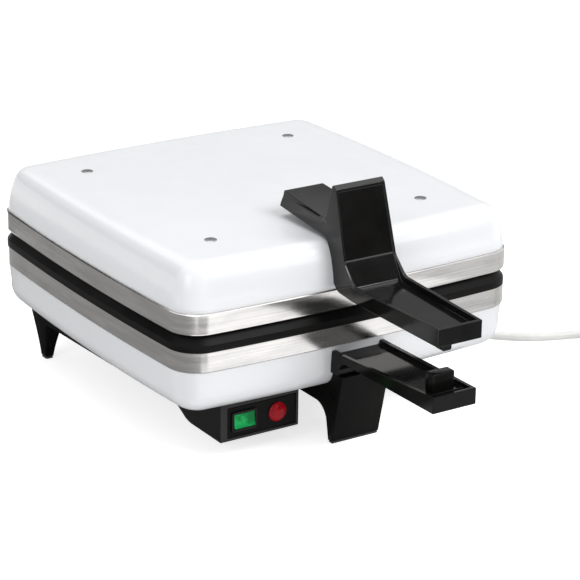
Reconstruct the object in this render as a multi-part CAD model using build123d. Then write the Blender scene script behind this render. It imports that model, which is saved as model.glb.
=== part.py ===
"""Contact grill: two hinged cooking plates with front handles, on three feet.

The plates' centre is the middle of each piece below, with X to the right, Y to the
rear and Z up from the surface that the grill stands on. Each piece is moved along Y
at the end, so that the origin lies under the middle of the grill with its handles.
"""

from build123d import *
from math import asin, atan2, cos, degrees, pi, radians, sin, sqrt, tan
import os

# Outline of the body, seen from above
body_half = 150.0
side_bow = 5.0
corner_radius = 24.0
least_corner_radius = 6.0

# Heights, stacked up from the surface that the grill stands on
foot_clearance = 40.0
base_plate_thick = 3.5
housing_height = 35.3
lower_plate_height = 28.0
upper_plate_height = 16.6
cover_height = 33.6

# White shells: the set-back at their open edge, the slope of their sides, their
# rounded outer edge and their wall
cover_setback = 1.2
cover_draft = 9.5
cover_round = 12.0
cover_wall = 1.0
housing_setback = 0.6
housing_draft = 5.0
housing_round = 17.0
housing_wall = 1.2
housing_opening_inset = 44.0
base_plate_inset = 20.0
base_plate_front_inset = 32.0
wire_notch_margin = 5.0

# Cooking plates
rim_chamfer_inset = 6.0
rim_chamfer_height = 7.2
upper_edge_chamfer = 1.2
rim_width = 7.0
lower_recess = 6.0
upper_recess = 4.0
plate_web = 6.5
skirt_wall = 5.0
rib_height = 2.5
rib_width = 4.5
rib_pitch = 11.0
fat_channel = 9.0
lid_gap = 0.3

# Heating elements and what holds them
element_radius = 3.3
element_inset = 72.0
element_bend = 18.0
element_tail = 34.0
element_tail_apart = 16.0
terminal_pin_radius = 1.8
terminal_pin_length = 12.0
clamp_thick = 1.2
clamp_margin = 2.5
clamp_screw_inset = 100.0
clamp_boss_radius = 5.0
shield_thick = 0.6
shield_edge_inset = 12.0
shield_notch_width = 60.0
shield_notch_depth = 34.0
lower_shield_drop = 22.3
upper_shield_rise = 16.7
thermostat_radius = 8.0
thermostat_height = 10.0
thermostat_ear = 15.0

# Screws
body_screw_inset = 57.0
body_boss_radius = 8.0
spacer_radius = 7.0
body_screw_radius = 2.2
body_screw_head = 4.8
body_screw_head_height = 0.8
body_screw_grip = 12.0
small_screw_radius = 1.5
small_screw_head = 2.8
small_screw_head_height = 1.6
screw_clearance = 0.1

# Upper handle
handle_root_half = 23.2
lever_root_half = 24.4
lever_end_half = 19.0
lever_length = 121.5
lever_drop = 24.5
lever_thick = 13.5
guard_height = 44.0
guard_lean = 15.5
guard_top_thick = 3.8
guard_crease_drop = 10.5
guard_crease_out = 11.5
guard_crease_round = 7.0
guard_crease_fall = 12.0
guard_frame = 1.8
guard_tray_depth = 1.1
tongue_reach = 77.5
tongue_lift = 7.7
tongue_thick = 11.5
tongue_fall = 5.0
tongue_bevel = 4.5
handle_rim = 2.8
lever_tray_depth = 5.0
end_lug_left = 14.5
end_lug_width = 8.0
end_lug_length = 9.0
end_lug_drop = 3.7
handle_screw_x = 11.0

# Lower handle
lower_handle_length = 118.3
lower_handle_end_half = 18.6
lower_root_top_drop = 3.3
lower_root_height = 17.5
lower_root_thick = 7.0
lower_arm_root_thick = 5.6
lower_end_rise = 5.0
lower_end_thick = 12.4
lower_rim = 3.5
lower_tray_depth = 2.8
catch_half = 10.0
catch_length = 9.6
catch_height = 13.4
catch_setback = 13.4

# Feet
front_foot_half = 21.2
front_foot_lean = 13.0
front_foot_top_out = 10.5
front_foot_sole = 5.0
front_foot_flange = 12.0
front_foot_reach = 50.0
front_foot_round = 14.0
rear_foot_side_inset = 29.0
rear_foot_rear_inset = 37.0
rear_foot_top_x = 18.0
rear_foot_top_y = 29.0
rear_foot_lean = 3.5
rear_foot_waist = 0.35
rear_foot_corner = 2.0
rear_foot_screw_step = 8.0
front_foot_screw_inset = 13.0
rear_foot_sole_x = 7.0
rear_foot_sole_y = 9.0
foot_rib_front = -10.0
foot_rib_width = 6.0
foot_rib_out = 6.0
foot_rib_depth = 6.5
foot_rib_tip = 3.2
foot_rib_drop = 8.5
foot_rib_round = 8.0
pad_thick = 1.5

# Control box
box_side_inset = 42.8
box_width = 67.4
box_front_inset = 19.0
box_drop = 26.0
box_flat = 47.0
box_ramp = 52.0
box_wall = 2.2
panel_thick = 2.5
panel_edge = 6.2
rocker_bezel_width = 21.0
rocker_bezel_height = 15.0
rocker_width = 17.5
rocker_height = 11.0
rocker_proud = 2.4
rocker_tilt = 7.0
rocker_pivot_depth = 2.0
rocker_side_gap = 0.4
rocker_swing_gap = 0.7
rocker_pin_radius = 1.2
rocker_body_depth = 14.0
rocker_from_left = 19.7
lamp_from_left = 48.8
lamp_radius = 7.6
lamp_dome = 3.2
lamp_rim = 1.0
lamp_body_radius = 5.0
lamp_body_depth = 12.0
lamp_drop = 11.3
rocker_drop = 11.4

# Hinge
hinge_behind = 16.0
hinge_side_inset = 66.0
hinge_arm_half = 10.0
hinge_ear = 4.0
hinge_side_gap = 0.3
knuckle_radius = 9.0
pin_radius = 3.0
pin_clearance = 0.05
pin_head_radius = 4.6
pin_head = 1.8
arm_reach_up = 41.0
bracket_reach_down = 52.0
arm_screw_out = 1.5
bracket_screw_out = 6.0
hinge_thick = 8.5
hinge_stand_off = 3.0
hinge_blank_sink = 12.0
arm_top_thick = 5.5
hinge_hole_spare = 0.5

# Seats between pieces that are screwed together
seat_gap = 0.1

# Terminal block, inner wires and the lead to the lid
block_side_inset = 95.0
block_rear_inset = 57.0
block_depth = 18.0
block_height = 14.0
block_width = 34.0
block_pole_step = 11.0
block_pole_radius = 2.0
wire_radius = 1.1
wire_gap = 0.6
lead_radius = 2.3
lead_x = 40.0
lead_housing_drop = 10.8
lead_cover_rise = 7.6
lead_inside = 10.0
lead_hole_gap = 1.1

# Cord
cord_radius = 3.3
gland_side_inset = 39.0
gland_drop = 16.8
relief_length = 30.0
relief_root_radius = 6.2
relief_flange_radius = 9.0
relief_flange = 3.0
gland_seat = 1.6
gland_neck = 12.0
gland_nut = 3.0
gland_wall_slack = 1.8
relief_groove = 1.4
relief_grooves = (7, 13, 19, 25)
cord_clear = 0.1
last_run = 66.0
coil_heading = -16.5
coil_turns_in = 1.375
coil_outer = 41.5
coil_pitch = 7.3
tail_end_run = 12.0
tail_run = 26.0
tail_turn = 8.0
plug_radius = 18.5
plug_length = 34.0
plug_neck_length = 22.0
plug_pin_radius = 2.4
plug_pin_length = 19.0
plug_pin_apart = 19.0

# Holes: how far the cutting cylinder reaches through a wall
drill_reach = 30.0

# Places worked out from the body's size
element_half = body_half - element_inset
clamp_screw_place = body_half - clamp_screw_inset
body_screw_place = body_half - body_screw_inset
rear_foot_x = body_half - rear_foot_side_inset
rear_foot_y = body_half - rear_foot_rear_inset
box_left = box_side_inset - body_half
box_right = box_left + box_width
box_front = body_half - box_front_inset
box_rear = box_flat - box_front
hinge_x = body_half - hinge_side_inset
arm_screw_tip = body_half + arm_screw_out
bracket_screw_tip = body_half + bracket_screw_out
hinge_clear = body_half + hinge_stand_off
base_plate_front = base_plate_front_inset - body_half
block_x = body_half - block_side_inset
block_y = body_half - block_rear_inset
lead_inner_end = body_half - lead_inside
gland_x = body_half - gland_side_inset

# Heights worked out from the stack
housing_bottom = foot_clearance + base_plate_thick
plate_bottom = housing_bottom + housing_height
parting = plate_bottom + lower_plate_height
upper_bottom = parting + lid_gap
cover_bottom = parting + upper_plate_height
cover_top = cover_bottom + cover_height
lower_floor = parting - lower_recess
lower_back = lower_floor - plate_web
upper_floor = upper_bottom + upper_recess
upper_back = upper_floor + plate_web
lower_shield_top = lower_back - lower_shield_drop
upper_shield_low = upper_back + upper_shield_rise
recess_inset = rim_chamfer_inset + rim_width
lead_housing_height = plate_bottom - lead_housing_drop
lead_cover_height = cover_bottom + lead_cover_rise
gland_height = plate_bottom - gland_drop
hinge_y = body_half + hinge_behind
front_y = -body_half

# The handles reach further than the hinge, so the middle of the grill lies in front
# of the plates' centre
front_reach = body_half + lever_length
rear_reach = hinge_y + knuckle_radius
plate_centre_y = (front_reach - rear_reach) / 2


# Outline, blocks and prisms

def outline(inset):
    """The body's rounded square with bowed sides, set in by a distance."""
    middle = body_half - inset
    corner = middle - side_bow
    front = ThreePointArc((-corner, -corner), (0, -middle), (corner, -corner))
    right = ThreePointArc((corner, -corner), (middle, 0), (corner, corner))
    rear = ThreePointArc((corner, corner), (0, middle), (-corner, corner))
    left = ThreePointArc((-corner, corner), (-middle, 0), (-corner, -corner))
    square = make_face(front + right + rear + left)
    return fillet(square.vertices(), max(corner_radius - inset, least_corner_radius))


def block(low, high, low_inset, high_inset):
    """A block of the body's outline between two heights."""
    if low_inset == high_inset:
        return extrude(Pos(0, 0, low) * outline(low_inset), high - low)
    sections = [Pos(0, 0, low) * outline(low_inset), Pos(0, 0, high) * outline(high_inset)]
    return loft(sections, ruled=True)


def rounded_block(open_height, closed_height, setback, draft, rounding):
    """A block with sloped sides, rounded all round its closed end."""
    closed_inset = setback + abs(closed_height - open_height) * tan(radians(draft))
    if closed_height > open_height:
        solid = block(open_height, closed_height, setback, closed_inset)
        edges = solid.edges().group_by(Axis.Z)[-1]
    else:
        solid = block(closed_height, open_height, closed_inset, setback)
        edges = solid.edges().group_by(Axis.Z)[0]
    return fillet(edges, rounding)


def cover_block(inset):
    """The lid cover's outer form, or the same form set in by a wall."""
    return rounded_block(
        cover_bottom, cover_top - inset, cover_setback + inset, cover_draft, cover_round - inset
    )


def housing_block(inset):
    """The lower housing's outer form, or the same form set in by a wall."""
    return rounded_block(
        plate_bottom, housing_bottom + inset, housing_setback + inset, housing_draft,
        housing_round - inset,
    )


def side_prism(points, radii, half_width):
    """A prism across X from (y, z) corners, with a radius for each corner."""
    profile = make_face(FilletPolyline(*points, radius=radii, close=True))
    return extrude(Plane.YZ * profile, half_width, both=True)


def plan_prism(points, low, high):
    """A prism up Z from (x, y) corners."""
    return extrude(Pos(0, 0, low) * make_face(Polyline(*points, close=True)), high - low)


def upright(x, y, low, high, radius):
    """A cylinder standing between two heights."""
    return Pos(x, y, (low + high) / 2) * Cylinder(radius, high - low)


def box_between(x_low, x_high, y_low, y_high, z_low, z_high):
    """A box from its lowest to its highest corner."""
    centre = Pos((x_low + x_high) / 2, (y_low + y_high) / 2, (z_low + z_high) / 2)
    return centre * Box(x_high - x_low, y_high - y_low, z_high - z_low)


def four_places(distance):
    """The four corners of a square about the plates' centre."""
    return [(x, y) for x in (-distance, distance) for y in (-distance, distance)]


def headed_screw(tip, head_seat, radius, head_radius, head_height):
    """A screw on Z from its tip to under its head, the head on the far side of its seat."""
    low = min(tip, head_seat)
    high = max(tip, head_seat)
    up = 1 if head_seat > tip else -1
    shank = upright(0, 0, low, high, radius)
    head = Pos(0, 0, head_seat + up * head_height / 2) * Cylinder(head_radius, head_height)
    crown = head.edges().group_by(Axis.Z)[-1 if up > 0 else 0]
    return shank + fillet(crown, head_height * 0.45)


def tube_along(path, radius):
    """A round bar swept along a path."""
    return sweep(Plane(origin=path @ 0, z_dir=path % 0) * Circle(radius), path)


def group(shapes):
    """Separate solids that share one piece's name."""
    return Compound([solid for shape in shapes for solid in shape.solids()])


def save(name, shape):
    """Write one piece, moved so that the origin is under the middle of the grill."""
    placed = Pos(0, plate_centre_y, 0) * shape
    placed.label = name
    export_step(placed, f"parts/{name}.step")


# White shells and the base plate

def lid_cover():
    """The white cover, with a hole for each screw."""
    shell = cover_block(0) - cover_block(cover_wall)
    for x, y in four_places(body_screw_place):
        shell -= upright(x, y, cover_bottom, cover_top + 1, body_screw_radius + screw_clearance)
    for place in upper_handle_screw_places():
        shell -= place * Cylinder(small_screw_radius + screw_clearance, 2 * drill_reach)
    for x in (-hinge_x, hinge_x):
        for rise in arm_screw_rises():
            hole = Cylinder(small_screw_radius + screw_clearance, 2 * drill_reach)
            shell -= Pos(x, body_half, cover_bottom + rise) * Rot(X=90) * hole
    shell -= lead_hole(lead_cover_height, lead_x)
    return shell


def lower_housing():
    """The white lower shell, open above and below."""
    shell = housing_block(0) - housing_block(housing_wall)
    opening = block(
        housing_bottom - 1, housing_bottom + housing_wall + 1,
        housing_opening_inset, housing_opening_inset,
    )
    shell -= opening
    for place in lower_handle_screw_places():
        shell -= place * Cylinder(small_screw_radius + screw_clearance, 2 * drill_reach)
    for x in (-hinge_x, hinge_x):
        for height in bracket_screw_heights():
            hole = Cylinder(small_screw_radius + screw_clearance, 2 * drill_reach)
            shell -= Pos(x, body_half, height) * Rot(X=90) * hole
    shell -= Pos(gland_x, body_half, gland_height) * Rot(X=90) * Cylinder(gland_bore, 2 * drill_reach)
    shell -= lead_hole(lead_housing_height, -lead_x)
    for x, y in foot_screw_places():
        shell -= upright(
            x, y, housing_bottom - 1, housing_bottom + housing_wall + 1,
            small_screw_radius + screw_clearance,
        )
    return shell


def base_plate():
    """The black plate that closes the housing from below."""
    plate = block(foot_clearance, housing_bottom, base_plate_inset, base_plate_inset)
    for x, y in four_places(body_screw_place):
        plate -= upright(
            x, y, foot_clearance - 1, housing_bottom + 1, body_screw_radius + screw_clearance
        )
    for x, y in foot_screw_places():
        plate -= upright(
            x, y, foot_clearance - 1, housing_bottom + 1, small_screw_radius + screw_clearance
        )
    plate -= box_between(
        -body_half, body_half, -body_half, base_plate_front, foot_clearance - 1,
        housing_bottom + 1,
    )
    plate -= box_between(
        body_screw_head + wire_notch_margin - body_screw_place, box_right - wire_notch_margin,
        base_plate_front + wire_notch_margin, box_rear - wire_notch_margin,
        foot_clearance - 1, housing_bottom + 1,
    )
    return plate


# Cooking plates

def rib_rows(y_half, low, high):
    """Parallel ribs from front to rear, as far apart as the pitch says."""
    count = int((y_half - rib_width) / rib_pitch)
    ribs = []
    for number in range(-count, count + 1):
        x = number * rib_pitch
        ribs.append(
            box_between(x - rib_width / 2, x + rib_width / 2, -y_half, y_half, low, high)
        )
    return ribs


def plate_bosses(back, far, radius, distance):
    """Bosses on a plate's back, one at each corner of a square."""
    low = min(back, far)
    high = max(back, far)
    return [upright(x, y, low, high, radius) for x, y in four_places(distance)]


def lower_cooking_plate():
    """The lower casting: bright band, chamfered rim, ribbed floor and bosses below."""
    chamfer_start = parting - rim_chamfer_height
    plate = block(plate_bottom, chamfer_start, 0, 0)
    plate += block(chamfer_start, parting, 0, rim_chamfer_inset)
    plate -= block(plate_bottom - 1, lower_back, skirt_wall, skirt_wall)
    plate -= block(lower_floor, parting + 1, recess_inset, recess_inset)
    rib_half = body_half - recess_inset - side_bow - fat_channel
    plate += rib_rows(rib_half, lower_floor - 1, lower_floor + rib_height)
    plate += plate_bosses(lower_back, lower_shield_top, body_boss_radius, body_screw_place)
    plate += plate_bosses(lower_back, lower_clamp_top, clamp_boss_radius, clamp_screw_place)
    for x, y in four_places(body_screw_place):
        bore = body_screw_radius + screw_clearance
        plate -= upright(x, y, lower_shield_top - 1, lower_shield_top + body_screw_grip + 1, bore)
    for x, y in four_places(clamp_screw_place):
        bore = small_screw_radius + screw_clearance
        plate -= upright(x, y, lower_clamp_top - 1, lower_clamp_top + clamp_screw_grip + 1, bore)
    return plate


def upper_cooking_plate():
    """The upper casting: bright band, ribbed face below and bosses above."""
    chamfer_end = upper_bottom + upper_edge_chamfer
    plate = block(chamfer_end, cover_bottom, 0, 0)
    plate += block(upper_bottom, chamfer_end, upper_edge_chamfer, 0)
    plate -= block(upper_back, cover_bottom + 1, skirt_wall, skirt_wall)
    plate -= block(upper_bottom - 1, upper_floor, recess_inset, recess_inset)
    rib_half = body_half - recess_inset - side_bow - fat_channel
    plate += rib_rows(rib_half, upper_floor - rib_height, upper_floor + 1)
    plate += plate_bosses(upper_back, upper_shield_low, body_boss_radius, body_screw_place)
    plate += plate_bosses(upper_back, upper_clamp_low, clamp_boss_radius, clamp_screw_place)
    for x, y in four_places(body_screw_place):
        bore = body_screw_radius + screw_clearance
        plate -= upright(x, y, upper_shield_low - body_screw_grip - 1, upper_shield_low + 1, bore)
    for x, y in four_places(clamp_screw_place):
        bore = small_screw_radius + screw_clearance
        plate -= upright(x, y, upper_clamp_low - clamp_screw_grip - 1, upper_clamp_low + 1, bore)
    return plate


# Heating: element, clamp plate, shield, spacers and thermostat

clamp_stand_off = 2 * element_radius + 2 * seat_gap
lower_clamp_top = lower_back - clamp_stand_off
upper_clamp_low = upper_back + clamp_stand_off
clamp_screw_grip = 10.0


def heating_element(centre_height):
    """A sheathed element in one square loop, with a pin at each end."""
    tail = element_tail_apart
    half = element_half
    path = FilletPolyline(
        (-tail, half + element_tail, centre_height),
        (-tail, half, centre_height),
        (-half, half, centre_height),
        (-half, -half, centre_height),
        (half, -half, centre_height),
        (half, half, centre_height),
        (tail, half, centre_height),
        (tail, half + element_tail, centre_height),
        radius=[element_bend * 0.7] + [element_bend] * 4 + [element_bend * 0.7],
    )
    element = tube_along(path, element_radius)
    for x in (-tail, tail):
        pin = Rot(X=90) * Cylinder(terminal_pin_radius, terminal_pin_length + 1)
        y = half + element_tail + (terminal_pin_length - 1) / 2
        element += Pos(x, y, centre_height) * pin
    return element


def clamp_plate(low):
    """The sheet that presses the element against the casting."""
    half = element_half + element_radius + clamp_margin
    sheet = extrude(Pos(0, 0, low) * RectangleRounded(2 * half, 2 * half, 12), clamp_thick)
    sheet -= upright(0, 0, low - 1, low + clamp_thick + 1, thermostat_ear + 4)
    for x, y in four_places(clamp_screw_place):
        bore = small_screw_radius + screw_clearance
        sheet -= upright(x, y, low - 1, low + clamp_thick + 1, bore)
    return sheet


def heat_shield(low):
    """The flat reflector between the hot plate and the shell."""
    sheet = block(low, low + shield_thick, shield_edge_inset, shield_edge_inset)
    y_edge = body_half - shield_edge_inset
    sheet -= box_between(
        -shield_notch_width / 2, shield_notch_width / 2, y_edge - shield_notch_depth,
        y_edge + 1, low - 1, low + shield_thick + 1,
    )
    for x, y in four_places(body_screw_place):
        bore = body_screw_radius + screw_clearance
        sheet -= upright(x, y, low - 1, low + shield_thick + 1, bore)
    return sheet


def spacers(low, high):
    """Four tubes that hold a shield and a shell apart."""
    tubes = []
    for x, y in four_places(body_screw_place):
        tube = upright(x, y, low, high, spacer_radius)
        tube -= upright(x, y, low - 1, high + 1, body_screw_radius + screw_clearance)
        tubes.append(tube)
    return group(tubes)


def thermostat(back, away):
    """A snap-disc thermostat on a plate's back, with its ears and two blades."""
    height = thermostat_height
    start = back + away * seat_gap
    disc = Pos(0, 0, start + away * 1.5) * Cylinder(thermostat_radius + 1.5, 3)
    ears = Pos(0, 0, start + away * 0.5) * Box(2 * thermostat_ear, 7, 1)
    body = Pos(0, 0, start + away * height / 2) * Cylinder(thermostat_radius, height)
    piece = disc + ears + body
    for x in (-4, 4):
        piece += Pos(x, 0, start + away * (height + 1)) * Box(0.8, 6.3, 6)
    return piece


def screws_on(places, tip, head_seat, radius, head_radius, head_height):
    """One headed screw at each place."""
    screw = headed_screw(tip, head_seat, radius, head_radius, head_height)
    return group([Pos(x, y, 0) * screw for x, y in places])


# Upper handle

def handle_plan(stations, inset):
    """The plan of a handle from its places and half widths, listed from the rear to the end."""
    rear_y = stations[0][0] - inset
    end_y = stations[-1][0] + inset
    right = [(half - inset, min(rear_y, max(end_y, y))) for y, half in stations]
    left = [(-x, y) for x, y in reversed(right)]
    return plan_prism(right + left, 0, cover_top + guard_height + 10)


def upper_handle_stations():
    return [
        (front_y + tongue_reach, handle_root_half),
        (front_y, handle_root_half),
        (front_y - guard_crease_out - guard_crease_fall, lever_root_half),
        (lever_end_y(), lever_end_half),
    ]


def lower_handle_stations():
    return [
        (front_y + tongue_reach, handle_root_half),
        (front_y, handle_root_half),
        (lower_handle_end_y(), lower_handle_end_half),
    ]


def lever_top():
    return cover_top - lever_drop


def lever_end_y():
    return front_y - lever_length


def upper_handle_screw_height():
    return cover_bottom + cover_height * 0.36


def upper_handle_screw_places():
    """Two screws from inside the cover's front wall into the handle."""
    across = (-handle_screw_x, handle_screw_x)
    return [Pos(x, front_y, upper_handle_screw_height()) * Rot(X=90) for x in across]


def upper_handle():
    """Tongue over the cover, upright guard and lever with a sunk tray, in one piece."""
    top = lever_top()
    end_y = lever_end_y()
    crease_y = front_y - guard_crease_out
    crease_z = cover_top - guard_crease_drop
    guard_y = crease_y + guard_lean
    guard_z = cover_top + guard_height
    tongue_y = front_y + tongue_reach
    tongue_low = cover_top + tongue_lift
    tongue_high = tongue_low + tongue_thick
    profile = [
        (tongue_y, tongue_low),
        (tongue_y, tongue_high),
        (front_y + 21, tongue_high - tongue_fall),
        (guard_y + guard_top_thick, guard_z - 1.2),
        (guard_y, guard_z),
        (crease_y, crease_z),
        (crease_y - guard_crease_fall, top + 0.6),
        (end_y, top),
        (end_y, top - lever_thick),
        (front_y - 4, top - lever_thick + 3.5),
        (front_y + 2, top - lever_thick + 9),
        (front_y + 14, top),
        (front_y + 14, cover_top + 1.4),
    ]
    radii = [1.0, 1.0, 6.0, 1.2, 1.2, guard_crease_round, 8.0, 1.5, 1.5, 6.0, 0, 0, 0]
    handle = side_prism(profile, radii, lever_root_half)
    handle &= handle_plan(upper_handle_stations(), 0)
    tray_top = guard_z - guard_frame
    slope = guard_lean / (guard_z - crease_z)
    pocket = [
        (guard_y - slope * guard_frame + guard_tray_depth, tray_top),
        (crease_y + guard_tray_depth, crease_z),
        (crease_y - guard_crease_fall + guard_tray_depth, top - lever_tray_depth),
        (end_y + handle_rim, top - lever_tray_depth),
        (end_y + handle_rim, tray_top),
    ]
    tray = side_prism(pocket, [0, guard_crease_round, 8.0, 0, 0], lever_root_half)
    for low, high, rim in ((0, crease_z, handle_rim), (crease_z, tray_top, guard_frame)):
        part = tray & handle_plan(upper_handle_stations(), rim)
        reach = lever_root_half
        handle -= part & box_between(-reach, reach, end_y, front_y + reach, low, high)
    for side in (-1, 1):
        bevel = [
            (side * (handle_root_half + 1), cover_top + tongue_lift - 6),
            (side * (handle_root_half + 1), tongue_high + 1),
            (side * (handle_root_half - tongue_bevel - 1), tongue_high + 1),
            (side * (handle_root_half + 0.2), cover_top + tongue_lift - 6),
        ]
        wedge = make_face(Polyline(*bevel, close=True))
        length = tongue_reach - 22
        handle -= extrude(Plane.XZ.offset(-tongue_y - 1) * wedge, length)
    lug = box_between(
        -end_lug_left, end_lug_width - end_lug_left, end_y, end_y + end_lug_length,
        top - lever_thick - end_lug_drop, top - lever_thick + 2,
    )
    handle += fillet(lug.edges().filter_by(Axis.Y).group_by(Axis.Z)[0], 1.5)
    handle -= cover_block(-seat_gap)
    for place in upper_handle_screw_places():
        handle -= place * Cylinder(small_screw_radius + screw_clearance, 24)
    return handle


# Lower handle

def lower_handle_end_y():
    return front_y - lower_handle_length


def lower_root_top():
    return plate_bottom - lower_root_top_drop


def lower_handle_screw_height():
    return lower_root_top() - lower_root_height * 0.5


def lower_handle_screw_places():
    """Two screws from inside the housing's front wall into the handle's root."""
    across = (-handle_screw_x, handle_screw_x)
    return [Pos(x, front_y, lower_handle_screw_height()) * Rot(X=90) for x in across]


def lower_handle():
    """Root plate on the housing and a tray-shaped arm with a raised catch."""
    end_y = lower_handle_end_y()
    root_top = lower_root_top()
    root_low = root_top - lower_root_height
    root_y = front_y - lower_root_thick
    end_top = root_top + lower_end_rise
    profile = [
        (front_y + 12, root_top),
        (root_y + 2, root_top),
        (end_y, end_top),
        (end_y, end_top - lower_end_thick),
        (root_y, root_top - lower_arm_root_thick),
        (root_y, root_low),
        (front_y + 12, root_low),
    ]
    radii = [0, 3.0, 1.5, 1.5, 9.0, 0.8, 0]
    handle = side_prism(profile, radii, handle_root_half)
    handle &= handle_plan(lower_handle_stations(), 0)
    tray_end = end_y + lower_rim
    pocket = [
        (front_y + handle_rim, root_top - lower_tray_depth),
        (front_y + handle_rim, end_top + 5),
        (tray_end, end_top + 5),
        (tray_end, end_top - lower_tray_depth),
    ]
    tray = side_prism(pocket, [0, 0, 0, 0], handle_root_half)
    tray &= handle_plan(lower_handle_stations(), lower_rim)
    handle -= tray
    catch_y = end_y + catch_setback
    handle += box_between(
        -catch_half, catch_half, catch_y, catch_y + catch_length,
        end_top - lower_tray_depth - 2, end_top - lower_tray_depth + catch_height,
    )
    handle -= housing_block(-seat_gap)
    handle -= block(plate_bottom - seat_gap, parting, -seat_gap, -seat_gap)
    for place in lower_handle_screw_places():
        handle -= place * Cylinder(small_screw_radius + screw_clearance, 11)
    return handle


def wall_screws(places, tip_out, head_in, draft):
    """Screws through a sloped front wall, heads inside, one at each place."""
    seat = head_in + seat_slack(draft)
    screw = headed_screw(
        tip_out, -seat, small_screw_radius, small_screw_head, small_screw_head_height
    )
    return group([place * screw for place in places])


def seat_slack(draft):
    """How far a flat screw head stands off a sloped wall."""
    return small_screw_head * tan(radians(draft)) + seat_gap


# Feet

def front_foot():
    """The tall front foot: sloped front, curved web and a flange under the base plate."""
    top = lower_root_top() - lower_root_height - seat_gap
    top_y = front_y - front_foot_top_out
    sole_y = top_y + front_foot_lean
    flange_low = foot_clearance - front_foot_flange
    profile = [
        (top_y, top),
        (sole_y, pad_thick),
        (sole_y + front_foot_sole, pad_thick),
        (sole_y + front_foot_sole + 5, flange_low),
        (front_y + front_foot_reach, flange_low),
        (front_y + front_foot_reach, foot_clearance - seat_gap),
        (base_plate_front - seat_gap, foot_clearance - seat_gap),
        (base_plate_front - seat_gap, top),
    ]
    radii = [1.0, 0.5, 0.5, front_foot_round, 3.0, 0, 0, 0]
    foot = side_prism(profile, radii, front_foot_half)
    foot -= housing_block(-seat_gap)
    for x, y in foot_screw_places()[:2]:
        bore = small_screw_radius + screw_clearance
        foot -= upright(x, y, flange_low + 3, foot_clearance + 1, bore)
    return foot


def rear_foot(side):
    """A slim rear foot, wider and further forward at its top, with a rib along its side."""
    x = side * rear_foot_x
    top = foot_clearance - seat_gap
    sections = []
    for share, height in ((0, pad_thick), (rear_foot_waist, top * 0.5), (1, top)):
        width = rear_foot_sole_x + share * (rear_foot_top_x - rear_foot_sole_x)
        depth = rear_foot_sole_y + share * (rear_foot_top_y - rear_foot_sole_y)
        face = RectangleRounded(width, depth, rear_foot_corner * (1 + share))
        sections.append(Pos(x, rear_foot_y - share * rear_foot_lean, height) * face)
    rib_x = x + side * foot_rib_out
    foot = loft(sections) + Pos(rib_x, 0, 0) * foot_rib()
    bore = small_screw_radius + screw_clearance
    for screw_x, screw_y in rear_foot_screw_places(side):
        foot -= upright(screw_x, screw_y, top - 9, top + 1, bore)
    return foot


def foot_rib():
    """The low rib that runs forward from a rear foot under the base plate."""
    top = foot_clearance - seat_gap
    foot_y = rear_foot_y - rear_foot_lean
    corner_y = foot_y - rear_foot_top_y / 2 + 1
    profile = [
        (foot_y, top),
        (foot_y, top - foot_rib_drop),
        (corner_y + foot_rib_depth, top - foot_rib_drop),
        (corner_y, top - foot_rib_depth),
        (foot_rib_front, top - foot_rib_tip),
        (foot_rib_front, top),
    ]
    return side_prism(profile, [0, 0, 0, foot_rib_round, 0, 0], foot_rib_width / 2)


def rear_foot_screw_places(side):
    top_y = rear_foot_y - rear_foot_lean
    steps = (-rear_foot_screw_step, rear_foot_screw_step)
    return [(side * rear_foot_x, top_y + step) for step in steps]


def foot_screw_places():
    """Two screws in the front foot's flange, then two in each rear foot."""
    flange_y = front_y + front_foot_reach - front_foot_screw_inset
    front = [(-handle_screw_x, flange_y), (handle_screw_x, flange_y)]
    return front + rear_foot_screw_places(-1) + rear_foot_screw_places(1)


def foot_pads():
    """A rubber pad under each foot."""
    sole_y = front_y - front_foot_top_out + front_foot_lean
    pads = [
        box_between(
            -front_foot_half + 1, front_foot_half - 1, sole_y + 0.4,
            sole_y + front_foot_sole - 0.4, 0, pad_thick,
        )
    ]
    for side in (-1, 1):
        face = RectangleRounded(rear_foot_sole_x - 0.6, rear_foot_sole_y - 0.6, 1.6)
        pads.append(extrude(Pos(side * rear_foot_x, rear_foot_y, 0) * face, pad_thick))
    return group(pads)


# Control box

def box_profile(inset, front_inset):
    """The box's side view: flat underneath, a ramp up to the base plate and a raised front."""
    low = foot_clearance - box_drop + inset
    front = front_inset - box_front
    ramp_end = box_rear + box_ramp - 3 * inset
    top = foot_clearance - seat_gap + inset / 2
    step = base_plate_front - seat_gap
    raised = housing_bottom - seat_gap + inset / 2
    return [
        (front, raised), (front, low), (box_rear, low), (ramp_end, top), (step, top),
        (step, raised),
    ]


def control_box():
    """The black box under the housing, open above and in front."""
    middle = Pos((box_left + box_right) / 2, 0, 0)
    outer = side_prism(box_profile(0, 0), [0, 1.0, 18.0, 0, 0, 0], box_width / 2)
    hollow = side_prism(
        box_profile(box_wall, panel_thick + seat_gap), [0, 0, 16.0, 0, 0, 0],
        box_width / 2 - box_wall,
    )
    low = foot_clearance - box_drop + box_wall
    mouth = box_between(
        -box_width / 2 + panel_edge, box_width / 2 - box_wall,
        -box_front - 1, panel_thick + 1 - box_front, low, foot_clearance,
    )
    return middle * (outer - hollow - mouth) - housing_block(-seat_gap)


def control_panel():
    """The flat front plate, with a window for the switch and a hole for the lamp."""
    panel = box_between(
        box_left + panel_edge + seat_gap, box_right - box_wall - seat_gap,
        0.4 - box_front, panel_thick - box_front,
        foot_clearance - box_drop + box_wall + seat_gap, foot_clearance - 2 * seat_gap,
    )
    switch = switch_place()
    window_width = rocker_bezel_width - 1.0 + seat_gap
    panel -= switch * Box(window_width, 20, rocker_bezel_height - 1.0 + seat_gap)
    panel -= lamp_place() * Rot(X=90) * Cylinder(lamp_body_radius + seat_gap, 20)
    return panel


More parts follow.
